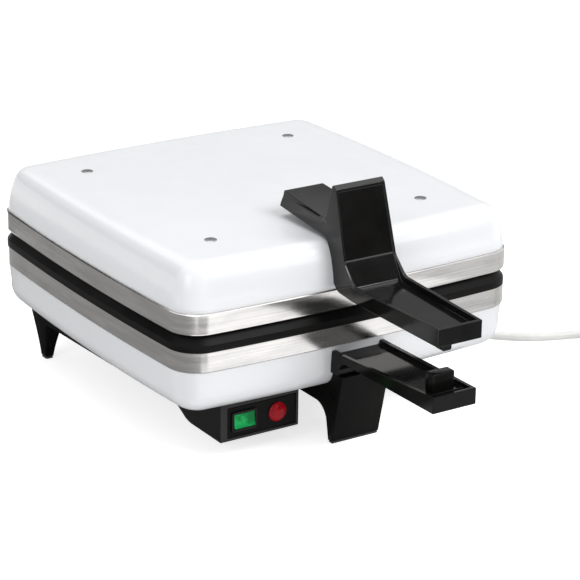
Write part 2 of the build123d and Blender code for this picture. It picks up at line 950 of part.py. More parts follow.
def switch_place():
    """On the panel's face, at the middle of the rocker switch."""
    return Pos(box_left + rocker_from_left, -box_front, foot_clearance - rocker_drop)


def lamp_place():
    """On the panel's face, at the middle of the lamp."""
    return Pos(box_left + lamp_from_left, -box_front, foot_clearance - lamp_drop)


def rocker_switch_body():
    """The switch's bezel and body, with a bore for the rocker's pivot pins."""
    bezel = Pos(0, -0.6, 0) * Box(rocker_bezel_width, 2.0 - seat_gap, rocker_bezel_height)
    bezel = fillet(bezel.edges().filter_by(Axis.Y), 1.2)
    depth = rocker_body_depth
    body = Pos(0, depth / 2, 0) * Box(
        rocker_bezel_width - 1.0, depth, rocker_bezel_height - 1.0
    )
    piece = bezel + body
    cavity_depth = rocker_pivot_depth + rocker_height / 2 + 2.0
    cavity = Box(rocker_width + 2 * rocker_side_gap, cavity_depth + 6, rocker_height + 2 * rocker_swing_gap)
    piece -= Pos(0, cavity_depth / 2 - 3, 0) * cavity
    bore = Rot(Y=90) * Cylinder(rocker_pin_radius + pin_clearance, rocker_bezel_width + 2)
    piece -= Pos(0, rocker_pivot_depth, 0) * bore
    for x in (-5, 5):
        piece += Pos(x, depth + 3.5, 0) * Box(4.8, 8, 0.8)
    return switch_place() * piece


def rocker():
    """The green rocker on its pivot pins, tipped to off."""
    half = rocker_height / 2
    face = Pos(0, 0, 0) * Box(rocker_width, 2 * (rocker_pivot_depth + rocker_proud), rocker_height)
    drum = Rot(Y=90) * Cylinder(half + 1.2, rocker_width)
    cap = Box(rocker_width, 40, rocker_height)
    front_only = Pos(0, -20, 0) * Box(rocker_width + 1, 40, 40)
    piece = face & front_only
    piece += (drum & cap) & (Pos(0, 2.0, 0) * Box(rocker_width + 1, 8, 40))
    dish = Rot(Y=90) * Cylinder(rocker_height * 1.6, rocker_width + 1)
    reach = rocker_pivot_depth + rocker_proud
    sag = rocker_height * 1.6 - sqrt((rocker_height * 1.6) ** 2 - half ** 2)
    piece -= Pos(0, -reach - rocker_height * 1.6 + sag, 0) * dish
    pins = Rot(Y=90) * Cylinder(rocker_pin_radius, rocker_bezel_width - 2.4)
    piece += pins
    tipped = Rot(X=-rocker_tilt) * piece
    return switch_place() * Pos(0, rocker_pivot_depth, 0) * tipped


def pilot_lens():
    """The red domed lens, turned about its own axis."""
    rim = lamp_rim
    ball_radius = (lamp_radius ** 2 + lamp_dome ** 2) / (2 * lamp_dome)
    centre = ball_radius - lamp_dome - rim
    half_angle = asin(lamp_radius / ball_radius) / 2
    middle = (ball_radius * sin(half_angle), centre - ball_radius * cos(half_angle))
    profile = [
        Line((0, 0), (lamp_radius, 0)),
        Line((lamp_radius, 0), (lamp_radius, -rim)),
        ThreePointArc((lamp_radius, -rim), middle, (0, -rim - lamp_dome)),
        Line((0, -rim - lamp_dome), (0, 0)),
    ]
    lens = revolve(make_face(profile), Axis.Y)
    return lamp_place() * Pos(0, 0.4 - seat_gap, 0) * lens


def pilot_lamp():
    """The lamp's body behind the panel, with its lock nut and two blades."""
    length = lamp_body_depth
    body = Pos(0, length / 2 + 0.4, 0) * Rot(X=90) * Cylinder(lamp_body_radius, length)
    nut_y = panel_thick + seat_gap + 1.5
    nut = Pos(0, nut_y, 0) * Rot(X=90) * extrude(RegularPolygon(7.0, 6), 1.5, both=True)
    piece = body + nut
    for x in (-2.2, 2.2):
        piece += Pos(x, length + 3.4, 0) * Box(0.8, 8, 3.0)
    return lamp_place() * piece


# Hinge

def arm_screw_rises():
    """Heights of the lid arm's screws above the cover's lower edge."""
    return (cover_height * 0.3, cover_height * 0.58)


def bracket_screw_heights():
    """Heights of the base bracket's screws."""
    return (plate_bottom - 7, plate_bottom - 17)


def hinge_arm(x):
    """The lid's hinge arm: a knuckle and a plate up the cover's rear wall."""
    top = parting + arm_reach_up
    inner = body_half - hinge_blank_sink
    profile = [
        (inner, top),
        (inner, cover_bottom + 3),
        (hinge_clear, cover_bottom + 1),
        (hinge_y - knuckle_radius, parting + 2),
        (hinge_y - knuckle_radius, parting),
        (hinge_y, parting),
        (hinge_y + hinge_thick / 2, parting + 6),
        (body_half + arm_top_thick, top),
    ]
    radii = [0, 0, 2.0, 2.0, 0, 0, 8.0, 2.0]
    arm = side_prism(profile, radii, hinge_arm_half)
    arm += Pos(0, hinge_y, parting) * Rot(Y=90) * Cylinder(knuckle_radius, 2 * hinge_arm_half)
    arm -= Pos(0, hinge_y, parting) * Rot(Y=90) * Cylinder(pin_radius + pin_clearance, 60)
    arm = Pos(x, 0, 0) * arm
    arm -= cover_block(-seat_gap)
    for rise in arm_screw_rises():
        arm -= hinge_hole(x, cover_bottom + rise, arm_screw_tip)
    return arm


def hinge_hole(x, height, tip_y):
    """A blind hole for a hinge screw, a little deeper than its tip."""
    length = tip_y + hinge_hole_spare - body_half + drill_reach
    hole = Rot(X=90) * Cylinder(small_screw_radius + screw_clearance, length)
    return Pos(x, body_half - drill_reach + length / 2, height) * hole


def bracket_half():
    return hinge_arm_half + hinge_side_gap + hinge_ear


def hinge_bracket(x):
    """The base's hinge bracket: a foot on the housing and an ear each side of the arm."""
    low = parting - bracket_reach_down
    stem_rear = hinge_y - knuckle_radius + hinge_thick
    ear_low = parting - knuckle_radius - 6
    inner = body_half - hinge_blank_sink
    profile = [
        (inner, low),
        (stem_rear - 4, low),
        (stem_rear, low + 12),
        (stem_rear, ear_low),
        (hinge_y + knuckle_radius, parting),
        (hinge_y - knuckle_radius, parting),
        (hinge_clear, ear_low),
        (hinge_clear, plate_bottom - 2),
        (inner, plate_bottom - 2),
    ]
    radii = [0, 2.0, 3.0, 3.0, 0, 0, 2.0, 2.0, 0]
    half = bracket_half()
    bracket = side_prism(profile, radii, half)
    bracket += Pos(0, hinge_y, parting) * Rot(Y=90) * Cylinder(knuckle_radius, 2 * half)
    slot = hinge_arm_half + hinge_side_gap
    bracket -= box_between(
        -slot, slot, body_half, hinge_y + 3 * knuckle_radius,
        ear_low, parting + 3 * knuckle_radius,
    )
    bracket -= Pos(0, hinge_y, parting) * Rot(Y=90) * Cylinder(pin_radius + pin_clearance, 60)
    bracket = Pos(x, 0, 0) * bracket
    bracket -= housing_block(-seat_gap)
    for height in bracket_screw_heights():
        bracket -= hinge_hole(x, height, bracket_screw_tip)
    return bracket


def hinge_pin(x):
    """A headed pin through both ears and the arm."""
    half = bracket_half()
    pin = Rot(Y=90) * Cylinder(pin_radius, 2 * half + 2 * seat_gap)
    for side in (-1, 1):
        head = Cylinder(pin_head_radius, pin_head)
        pin += Pos(side * (half + seat_gap + pin_head / 2), 0, 0) * Rot(Y=90) * head
    return Pos(x, hinge_y, parting) * pin


def hinge_screws(heights, inner_y, draft, tip_y):
    """Screws from inside a sloped rear wall into a hinge piece at each side."""
    screws = []
    for x in (-hinge_x, hinge_x):
        for height in heights:
            seat = inner_y(height) - bow_drop(hinge_x) - seat_slack(draft)
            screw = headed_screw(
                -tip_y, -seat, small_screw_radius, small_screw_head, small_screw_head_height
            )
            screws.append(Pos(x, 0, height) * Rot(X=90) * screw)
    return group(screws)


def bow_drop(x):
    """How far the bowed side has fallen back at a distance from its middle."""
    bow_radius = ((body_half - side_bow) ** 2 + side_bow ** 2) / (2 * side_bow)
    return bow_radius - sqrt(bow_radius ** 2 - x ** 2)


def cover_inner_y(height):
    """How far the cover's inner wall stands from the centre, below its rounding."""
    inset = cover_setback + cover_wall + (height - cover_bottom) * tan(radians(cover_draft))
    return body_half - inset


def housing_inner_y(height):
    """How far the housing's inner wall stands from the centre, above its rounding."""
    inset = housing_setback + housing_wall
    inset += (plate_bottom - height) * tan(radians(housing_draft))
    return body_half - inset


# Inside the base

def terminal_block():
    """A three-way ceramic block on the base plate."""
    low = housing_bottom + seat_gap
    piece = box_between(
        block_x - block_width / 2, block_x + block_width / 2,
        block_y - block_depth / 2, block_y + block_depth / 2, low, low + block_height,
    )
    for step in (-block_pole_step, 0, block_pole_step):
        top = Pos(block_x + step, block_y, low + block_height)
        piece -= top * Cylinder(block_pole_radius, block_height / 2)
    return piece


def wire(points):
    """One insulated wire with rounded bends."""
    path = FilletPolyline(*points, radius=route_radii(points))
    return tube_along(path, wire_radius)


def housing_inner_end():
    """Where the mains wires leave the gland inside the housing."""
    return wall_y(gland_height) + gland_seat + relief_flange / 2 - gland_neck - wire_gap


def base_wiring():
    """Insulated wires from the gland to the block and on to each electric piece."""
    back = block_y + block_depth / 2 + wire_gap
    fore = block_y - block_depth / 2 - wire_gap
    level = housing_bottom + 8
    start = housing_inner_end()
    blade = thermostat_ear / 2 - 4.1
    pin_z = lower_back - element_radius - seat_gap
    pin_y = element_half + element_tail + terminal_pin_length + wire_gap
    low = lower_back - thermostat_height - 2.5
    switch_y = -box_front + rocker_body_depth + 7.6
    switch_x = box_left + rocker_from_left
    switch_z = foot_clearance - rocker_drop
    lamp_y = -box_front + lamp_body_depth + 7.5
    lamp_x = box_left + lamp_from_left
    lamp_z = foot_clearance - lamp_drop
    rear = body_half
    entry = gland_height
    routes = [
        [(gland_x + 2.6, start, entry), (gland_x + 2, rear - 24, entry - 1),
         (block_x + 22, rear - 31, entry - 7), (block_x + 11, rear - 37, level),
         (block_x + 11, back, level)],
        [(gland_x, start, entry + 2.6), (gland_x - 3, rear - 25, entry + 2),
         (block_x + 14, rear - 29, entry - 2), (block_x, rear - 36, level),
         (block_x, back, level)],
        [(gland_x - 2.6, start, entry), (gland_x - 8, rear - 22, entry),
         (block_x + 4, rear - 25, entry + 2), (block_x - 11, rear - 34, entry - 8),
         (block_x - 11, back, level)],
        [(block_x - 11, fore, level), (block_x - 14, fore - 24, level - 2),
         (switch_x + 22, switch_y + 39, level - 3), (switch_x + 10, switch_y + 12, level - 3),
         (switch_x + 5, switch_y + 9.5, switch_z + 4), (switch_x + 5, switch_y + 0.6, switch_z)],
        [(block_x, fore, level), (block_x - 4, fore - 26, level + 1),
         (lamp_x + 16, lamp_y + 39, level), (lamp_x + 3, lamp_y + 11.5, level),
         (lamp_x + 2.2, lamp_y + 7.5, lamp_z + 6), (lamp_x + 2.2, lamp_y + 0.6, lamp_z)],
        [(4, blade, low), (5, rear - 90, low - 3), (10, rear - 50, low - 4),
         (14, rear - 38, low - 10), (block_x - 24, rear - 74, level + 5),
         (block_x + 5, fore - 14, level + 2), (block_x + 11, fore - 8, level),
         (block_x + 11, fore, level)],
        [(16, pin_y, pin_z), (17, rear - 20, pin_z - 2), (20, rear - 17, pin_z - 14),
         (26, rear - 24, entry + 4), (32, rear - 34, entry - 2), (38, rear - 40, entry - 6)],
        [(-16, pin_y, pin_z), (-17, rear - 20, pin_z - 2), (-19, rear - 20, pin_z - 16),
         (-16, rear - 32, entry + 4), (-10, rear - 50, entry - 2)],
    ]
    return group([wire(points) for points in routes])


def lid_wiring():
    """Insulated wires from the lid's lead to the element and the limiter."""
    pin_z = upper_back + element_radius + seat_gap
    pin_y = element_half + element_tail + terminal_pin_length + wire_gap
    blade = thermostat_ear / 2 - 4.1
    high = upper_back + thermostat_height + 1.4
    lead_y = lead_inner_end
    rear = body_half
    level = lead_cover_height
    routes = [
        [(-16, pin_y, pin_z), (-16, rear - 19, pin_z + 1), (-11, rear - 20, high - 1),
         (-4, rear - 34, high), (-4, rear - 90, high + 0.4), (-4, blade, high)],
        [(lead_x - 1.3, lead_y - wire_gap, level), (lead_x - 5, rear - 17, level - 1),
         (26, rear - 19, level - 5), (16, rear - 19, pin_z), (16, pin_y, pin_z)],
        [(lead_x + 1.3, lead_y - wire_gap, level), (lead_x, rear - 22, level),
         (30, rear - 42, level), (8, rear - 90, high + 0.4), (4, 20, high), (4, blade, high)],
    ]
    return group([wire(points) for points in routes])


# The lead between base and lid: two halves that meet on the hinge's axis

def lead_hole(height, x):
    """A hole in a rear wall for the lead's grommet."""
    hole = Cylinder(lead_radius + lead_hole_gap, drill_reach)
    return Pos(x, body_half, height) * Rot(X=90) * hole


def lid_lead_lower():
    """The base's half of the lead, out of the housing and along the hinge's axis."""
    points = [
        (-lead_x, lead_inner_end, lead_housing_height),
        (-lead_x, hinge_y - 8, lead_housing_height),
        (-lead_x, hinge_y, lead_housing_height + 13),
        (-lead_x, hinge_y, parting - 13),
        (-lead_x + 13, hinge_y, parting),
        (-seat_gap, hinge_y, parting),
    ]
    path = FilletPolyline(*points, radius=route_radii(points))
    return tube_along(path, lead_radius)


def lid_lead_upper():
    """The lid's half of the lead, along the hinge's axis and into the cover."""
    points = [
        (seat_gap, hinge_y, parting),
        (lead_x - 13, hinge_y, parting),
        (lead_x, hinge_y, parting + 12),
        (lead_x, hinge_y - 8, lead_cover_height),
        (lead_x, lead_inner_end, lead_cover_height),
    ]
    path = FilletPolyline(*points, radius=route_radii(points))
    return tube_along(path, lead_radius)


# Cord, its gland and its plug

gland_bore = relief_root_radius + 0.3
cord_floor = cord_radius + cord_clear
coil_straight = 2 * cord_radius
coil_turns = 2 * coil_turns_in + 0.5


def wall_y(height):
    """How far the housing's outer rear wall stands from the centre at the gland."""
    return housing_inner_y(height) + housing_wall - bow_drop(gland_x)


def cord_gland():
    """The moulded gland: a neck through the wall, a flange and a tapered strain relief."""
    flange_y = wall_y(gland_height) + gland_seat
    neck = Cylinder(relief_root_radius, gland_neck)
    flange = Cylinder(relief_flange_radius, relief_flange)
    relief = Cone(relief_root_radius, cord_radius + 1.2, relief_length)
    outward = Rot(X=-90)
    piece = Pos(0, (relief_flange - gland_neck) / 2, 0) * outward * neck
    piece += Pos(0, relief_flange / 2, 0) * outward * flange
    piece += Pos(0, relief_flange + relief_length / 2, 0) * outward * relief
    for step in relief_grooves:
        ring = Cylinder(relief_root_radius + 1, relief_groove)
        ring -= Cylinder(cord_radius + 1.0, relief_groove)
        piece -= Pos(0, relief_flange + step, 0) * outward * ring
    nut_y = -gland_seat - housing_wall - gland_wall_slack - gland_nut / 2
    piece += Pos(0, nut_y, 0) * outward * Cylinder(relief_root_radius + gland_seat, gland_nut)
    return Pos(gland_x, flange_y, gland_height) * piece


def relief_tip():
    tip_y = wall_y(gland_height) + gland_seat + relief_flange + relief_length
    return Vector(gland_x, tip_y, gland_height)


def route_radii(points):
    """The largest arc that the two runs at each corner allow."""
    places = [Vector(*point) for point in points]
    radii = []
    for before, corner, after in zip(places, places[1:], places[2:]):
        incoming = corner - before
        outgoing = after - corner
        turn = radians(incoming.get_angle(outgoing))
        radii.append(0.45 * min(incoming.length, outgoing.length) / tan(turn / 2))
    return radii


def cord_tube(name, points):
    """A free stretch of cord, checked by its section times its length, and its end."""
    radii = route_radii(points)
    path = FilletPolyline(*points, radius=radii)
    tube = tube_along(path, cord_radius)
    expected = pi * cord_radius ** 2 * path.length
    print(name, "length", round(path.length, 1), "radii", [round(r) for r in radii])
    print(name, "volume over section times length", round(tube.volume / expected, 4))
    return tube, path @ 1


def heading(angle):
    return Vector(cos(radians(angle)), sin(radians(angle)), 0)


cord_corners = [
    (-1, 86, 50),
    (11, 109, 31),
    (35, 119, 13),
    (61, 111, cord_floor),
    (79, 86, cord_floor),
    (78, 46, cord_floor),
    (70, 2, cord_floor),
    (60, -40, cord_floor),
    (54, -80, cord_floor),
    (57, -120, cord_floor),
    (72, -158, cord_floor),
    (97, -190.2, cord_floor),
    (128.3, -215.1, cord_floor),
]


def cord_route():
    """Corner points of the cord from its strain relief to the coil.

    The corners chosen by hand are to the right of the gland, behind the body's rear
    side and above the surface.
    """
    tip = relief_tip()
    corners = [(gland_x + x, body_half + y, z) for x, y, z in cord_corners]
    last = coil_start()
    return [(tip.X, tip.Y, tip.Z), (tip.X, tip.Y + 24, tip.Z), *corners, (last.X, last.Y, last.Z)]


def coil_start():
    """Where the cord's last run meets the coil's straight end."""
    x, y, z = cord_corners[-1]
    corner = Vector(gland_x + x, body_half + y, z)
    return corner + heading(coil_heading) * last_run


def coil_lead():
    """The angle by which a shrinking turn leaves its circle."""
    return degrees(atan2(coil_pitch, 2 * pi * coil_outer))


def coil_centre():
    first = coil_start() + heading(coil_heading) * coil_straight
    return first - heading(coil_heading + 90 + coil_lead()) * coil_outer


def coil_place(turn):
    """The coil's centreline after a number of turns, clockwise seen from above.

    It winds inward on the floor, climbs one layer in the half turn where it reverses,
    and winds outward on the second layer.
    """
    climb = turn - coil_turns_in
    inner = coil_outer - coil_pitch * coil_turns_in
    if climb <= 0:
        radius = coil_outer - coil_pitch * turn
        rise = 0.0
    elif climb < 0.5:
        part = climb / 0.5
        radius = inner - coil_pitch / 2 * part * (1 - part)
        rise = coil_pitch * part * part * (3 - 2 * part)
    else:
        radius = inner + coil_pitch * (climb - 0.5)
        rise = coil_pitch
    angle = coil_heading + 90 + coil_lead() - 360 * turn
    return coil_centre() + heading(angle) * radius + Vector(0, 0, rise)


def coil_direction(turn):
    step = 1e-4
    return (coil_place(turn + step) - coil_place(turn - step)).normalized()


def biarc(start, start_way, end, end_way):
    """Two arcs that join two points and keep both directions."""
    chord = end - start
    ways = start_way + end_way
    spread = 2 * (1 - start_way.dot(end_way))
    along = chord.dot(ways)
    reach = (sqrt(along ** 2 + spread * chord.dot(chord)) - along) / spread
    joint = (start + end + (start_way - end_way) * reach) * 0.5
    joint_way = (end - end_way * reach - start - start_way * reach).normalized()
    return [
        TangentArc(start, joint, tangent=start_way),
        TangentArc(joint, end, tangent=joint_way),
    ]


def coil_path():
    """The coil's centreline: a straight end, biarcs of a quarter turn, a straight end."""
    quarters = int(round(coil_turns * 4))
    stations = [coil_turns * number / quarters for number in range(quarters + 1)]
    places = [coil_place(turn) for turn in stations]
    ways = [coil_direction(turn) for turn in stations]
    edges = [Line(places[0] - ways[0] * coil_straight, places[0])]
    for number in range(quarters):
        edges += biarc(places[number], ways[number], places[number + 1], ways[number + 1])
    edges.append(Line(places[-1], places[-1] + ways[-1] * coil_straight))
    return Wire([edge.edge() for edge in edges])


def least_gap(path):
    """The least gap between the wound cord and itself, measured on points."""
    count = 420
    points = [path @ (number / count) for number in range(count + 1)]
    apart = int(count * 3.2 * 2 * cord_radius / path.length)
    least = min(
        (points[i] - points[j]).length
        for i in range(count + 1)
        for j in range(i + apart, count + 1)
    )
    return least - 2 * cord_radius


def tail_heading():
    """The direction in which the tail meets the plug."""
    way = coil_direction(coil_turns)
    return Vector(way.X, way.Y, 0).normalized().rotate(Axis.Z, -tail_turn)


def tail_route():
    """Corner points of the cord from the coil to the plug."""
    way = coil_direction(coil_turns)
    start = coil_place(coil_turns) + way * coil_straight
    first = start + way * tail_end_run
    last_way = tail_heading()
    middle_way = (way + last_way).normalized()
    rise = plug_radius + cord_clear - first.Z
    second = first + middle_way * tail_run + Vector(0, 0, rise)
    end = second + last_way * tail_end_run
    return [tuple(point) for point in (start, first, second, end)]


def plug():
    """A round two-pin plug lying on its side, with a grip and side contacts left plain."""
    neck = Pos(0, 0, plug_neck_length / 2) * Cone(cord_radius + 1.2, 9.0, plug_neck_length)
    head_start = plug_neck_length
    head = Pos(0, 0, head_start + plug_length / 2) * Cylinder(plug_radius, plug_length)
    head = chamfer(head.edges().group_by(Axis.Z)[0], 8.0, 9.0)
    head = fillet(head.edges().group_by(Axis.Z)[-1], 1.5)
    piece = neck + head
    for side in (-1, 1):
        notch = Box(6.0, 8.0, plug_length)
        piece -= Pos(0, side * (plug_radius + 0.5), head_start + 10 + plug_length / 2) * notch
    for side in (-1, 1):
        pin = Cylinder(plug_pin_radius, plug_pin_length + 2)
        pin = fillet(pin.edges().group_by(Axis.Z)[-1], 1.2)
        pin_z = head_start + plug_length + plug_pin_length / 2 - 1
        piece += Pos(side * plug_pin_apart / 2, 0, pin_z) * pin
    return piece


# Write every piece

os.makedirs("parts", exist_ok=True)

save("lid_cover", lid_cover())
save("lower_housing", lower_housing())
save("base_plate", base_plate())
save("lower_cooking_plate", lower_cooking_plate())
save("upper_cooking_plate", upper_cooking_plate())

save("lower_heating_element", heating_element(lower_back - element_radius - seat_gap))
save("upper_heating_element", heating_element(upper_back + element_radius + seat_gap))
save("lower_clamp_plate", clamp_plate(lower_clamp_top - clamp_thick))
save("upper_clamp_plate", clamp_plate(upper_clamp_low))
save("lower_heat_shield", heat_shield(lower_shield_top - shield_thick))
save("upper_heat_shield", heat_shield(upper_shield_low))
save("lower_thermostat", thermostat(lower_back, -1))
save("upper_limiter", thermostat(upper_back, 1))
save("lower_spacers", spacers(housing_bottom, lower_shield_top - shield_thick))
save("upper_spacers", spacers(upper_shield_low + shield_thick, cover_top - cover_wall))

clamp_screw = (small_screw_radius, small_screw_head, small_screw_head_height)
body_screw = (body_screw_radius, body_screw_head, body_screw_head_height)
save("lower_clamp_screws", screws_on(
    four_places(clamp_screw_place), lower_clamp_top + clamp_screw_grip,
    lower_clamp_top - clamp_thick, *clamp_screw))
save("upper_clamp_screws", screws_on(
    four_places(clamp_screw_place), upper_clamp_low - clamp_screw_grip,
    upper_clamp_low + clamp_thick, *clamp_screw))
save("lid_cover_screws", screws_on(
    four_places(body_screw_place), upper_shield_low - body_screw_grip, cover_top, *body_screw))
save("base_screws", screws_on(
    four_places(body_screw_place), lower_shield_top + body_screw_grip, foot_clearance,
    *body_screw))

save("upper_handle", upper_handle())
save("lower_handle", lower_handle())
save("upper_handle_screws", wall_screws(
    upper_handle_screw_places(), 9.0,
    body_half - cover_inner_y(upper_handle_screw_height()), cover_draft))
save("lower_handle_screws", wall_screws(
    lower_handle_screw_places(), 4.5,
    body_half - housing_inner_y(lower_handle_screw_height()), housing_draft))

save("front_foot", front_foot())
save("rear_left_foot", rear_foot(-1))
save("rear_right_foot", rear_foot(1))
save("foot_pads", foot_pads())
save("foot_screws", screws_on(
    foot_screw_places(), foot_clearance - 7, housing_bottom + housing_wall, *clamp_screw))

save("control_box", control_box())
save("control_panel", control_panel())
save("rocker_switch_body", rocker_switch_body())
save("rocker", rocker())
save("pilot_lens", pilot_lens())
save("pilot_lamp", pilot_lamp())

save("hinge_bracket_left", hinge_bracket(-hinge_x))
save("hinge_bracket_right", hinge_bracket(hinge_x))
save("hinge_arm_left", hinge_arm(-hinge_x))
save("hinge_arm_right", hinge_arm(hinge_x))
save("hinge_pins", group([hinge_pin(-hinge_x), hinge_pin(hinge_x)]))
save("lid_hinge_screws", hinge_screws(
    [cover_bottom + rise for rise in arm_screw_rises()], cover_inner_y, cover_draft,
    arm_screw_tip))
save("base_hinge_screws", hinge_screws(
    bracket_screw_heights(), housing_inner_y, housing_draft, bracket_screw_tip))

save("terminal_block", terminal_block())
save("base_wiring", base_wiring())
save("lid_wiring", lid_wiring())
save("lid_lead_lower", lid_lead_lower())
save("lid_lead_upper", lid_lead_upper())
save("cord_gland", cord_gland())

mains_cord, route_end = cord_tube("mains_cord", cord_route())
save("mains_cord", mains_cord)
loops = coil_path()
cord_coil = tube_along(loops, cord_radius)
print("cord_coil length", round(loops.length, 1), "least gap", round(least_gap(loops), 2))
print("cord_coil volume over section times length",
      round(cord_coil.volume / (pi * cord_radius ** 2 * loops.length), 4))
save("cord_coil", cord_coil)
print("coil starts from the cord's end by", round((loops @ 0 - route_end).length, 3))
cord_tail, tail_end = cord_tube("cord_tail", tail_route())
save("cord_tail", cord_tail)
save("plug", Plane(origin=tail_end, z_dir=tail_heading()) * plug())
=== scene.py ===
"""Contact grill: visible pieces, finishes, light and camera, laid out as an add-on."""

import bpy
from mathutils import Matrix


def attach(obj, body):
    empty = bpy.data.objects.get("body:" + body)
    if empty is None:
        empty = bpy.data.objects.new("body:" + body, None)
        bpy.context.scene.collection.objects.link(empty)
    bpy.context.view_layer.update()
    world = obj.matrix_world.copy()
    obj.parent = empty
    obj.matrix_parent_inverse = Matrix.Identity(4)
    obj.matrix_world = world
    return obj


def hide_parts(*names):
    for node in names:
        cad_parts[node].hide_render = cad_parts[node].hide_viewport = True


bl_info = {
    "name": "Contact Grill Pieces",
    "version": (1, 0, 0),
    "blender": (4, 5, 0),
    "location": "View3D > Sidebar > Grill",
    "description": "Builds the pieces and finishes of a hinged contact grill",
    "category": "Add Mesh",
}

from math import atan2, cos, degrees, pi, radians, sin, sqrt, tan

import bmesh
import bpy
from mathutils import Matrix, Vector

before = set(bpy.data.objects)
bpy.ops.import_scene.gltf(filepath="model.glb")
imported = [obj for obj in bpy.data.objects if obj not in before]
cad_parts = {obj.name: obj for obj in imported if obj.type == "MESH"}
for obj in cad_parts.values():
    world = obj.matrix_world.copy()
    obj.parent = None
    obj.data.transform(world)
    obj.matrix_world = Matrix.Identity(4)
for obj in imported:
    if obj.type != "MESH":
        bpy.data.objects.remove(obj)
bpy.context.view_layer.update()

MM = 0.001
REAR_SHIFT = 48.25
LEAST_CORNER = 6.0
COVER_TOP = 157.0
SCREW_SPACING = 186.0
LOWER_COAT_FROM = 0.0941
UPPER_COAT_BELOW = 0.1076


class GrillSizes(bpy.types.PropertyGroup):
    """Sizes of the grill that a user may change"""

    body_half: bpy.props.FloatProperty(
        name="Half width", description="From the middle to the side of the body",
        default=0.150, unit="LENGTH")
    side_bow: bpy.props.FloatProperty(
        name="Side bow", description="How far each side swells out",
        default=0.005, unit="LENGTH")
    corner_radius: bpy.props.FloatProperty(
        name="Corner radius", description="Radius of the body's corners from above",
        default=0.024, unit="LENGTH")
    edge_round: bpy.props.FloatProperty(
        name="Edge rounding", description="Small rounding on moulded edges",
        default=0.0005, unit="LENGTH")
    cord_radius: bpy.props.FloatProperty(
        name="Cord radius", description="Radius of the mains cord",
        default=0.0033, unit="LENGTH")
    tray_depth: bpy.props.FloatProperty(
        name="Tray depth", description="Depth of the upper lever's tray",
        default=0.005, unit="LENGTH")
    lamp_radius: bpy.props.FloatProperty(
        name="Lamp radius", description="Radius of the lamp's lens",
        default=0.0076, unit="LENGTH")


class GrillColours(bpy.types.PropertyGroup):
    """Colours of the grill that a user may change"""

    enamel: bpy.props.FloatVectorProperty(
        name="Enamel", description="Colour of the cover and the housing",
        default=(0.825, 0.838, 0.86), subtype="COLOR")
    metal: bpy.props.FloatVectorProperty(
        name="Metal", description="Colour of the brushed plates",
        default=(0.715, 0.70, 0.685), subtype="COLOR")
    moulding: bpy.props.FloatVectorProperty(
        name="Moulding", description="Colour of the handles and feet",
        default=(0.0055, 0.0052, 0.005), subtype="COLOR")
    coating: bpy.props.FloatVectorProperty(
        name="Coating", description="Colour of the coated cooking faces",
        default=(0.0055, 0.005, 0.0048), subtype="COLOR")
    rocker: bpy.props.FloatVectorProperty(
        name="Rocker", description="Colour of the rocker switch",
        default=(0.006, 0.24, 0.06), subtype="COLOR")
    lens: bpy.props.FloatVectorProperty(
        name="Lens", description="Colour of the lamp's lens",
        default=(0.34, 0.004, 0.010), subtype="COLOR")
    cord: bpy.props.FloatVectorProperty(
        name="Cord", description="Colour of the mains cord and its plug",
        default=(0.765, 0.77, 0.75), subtype="COLOR")


def sizes():
    return bpy.context.scene.grill_sizes


def colours():
    return bpy.context.scene.grill_colours


def place(x, y, z):
    """A point in the shared frame from millimetres about the plates' centre."""
    return Vector((x, y + REAR_SHIFT, z)) * MM


# Finishes

def start_finish(name, roughness, metallic=0.0, shine=0.5):
    """A new finish with its node tree and its shader."""
    finish = bpy.data.materials.new(name)
    finish.use_nodes = True
    tree = finish.node_tree
    shader = tree.nodes["Principled BSDF"]
    shader.inputs["Roughness"].default_value = roughness
    shader.inputs["Metallic"].default_value = metallic
    shader.inputs["Specular IOR Level"].default_value = shine
    return finish, tree, shader


def pattern(tree, scale, stretch=(1, 1, 1), detail=3.0, rough=0.55):
    """Noise on the piece's own coordinates, stretched along its axes."""
    coordinates = tree.nodes.new("ShaderNodeTexCoord")
    mapping = tree.nodes.new("ShaderNodeMapping")
    mapping.inputs["Scale"].default_value = stretch
    noise = tree.nodes.new("ShaderNodeTexNoise")
    noise.inputs["Scale"].default_value = scale
    noise.inputs["Detail"].default_value = detail
    noise.inputs["Roughness"].default_value = rough
    tree.links.new(coordinates.outputs["Object"], mapping.inputs["Vector"])
    tree.links.new(mapping.outputs["Vector"], noise.inputs["Vector"])
    return noise.outputs["Fac"]


def spread(tree, source, low, high, start=0.3, end=0.7):
    """A value that runs from low to high as the source goes from start to end."""
    ranger = tree.nodes.new("ShaderNodeMapRange")
    ranger.inputs["From Min"].default_value = start
    ranger.inputs["From Max"].default_value = end
    ranger.inputs["To Min"].default_value = low
    ranger.inputs["To Max"].default_value = high
    tree.links.new(source, ranger.inputs["Value"])
    return ranger.outputs["Result"]


def tint(tree, source, dark, light, start=0.3, end=0.7):
    """A colour that runs between two as the source goes from start to end."""
    ramp = tree.nodes.new("ShaderNodeValToRGB")
    ramp.color_ramp.elements[0].position = start
    ramp.color_ramp.elements[1].position = end
    ramp.color_ramp.elements[0].color = (*dark, 1)
    ramp.color_ramp.elements[1].color = (*light, 1)
    tree.links.new(source, ramp.inputs["Fac"])
    return ramp.outputs["Color"]


def relief(tree, shader, source, strength, depth):
    """A fine relief on the surface."""
    bump = tree.nodes.new("ShaderNodeBump")
    bump.inputs["Strength"].default_value = strength
    bump.inputs["Distance"].default_value = depth
    tree.links.new(source, bump.inputs["Height"])
    tree.links.new(bump.outputs["Normal"], shader.inputs["Normal"])


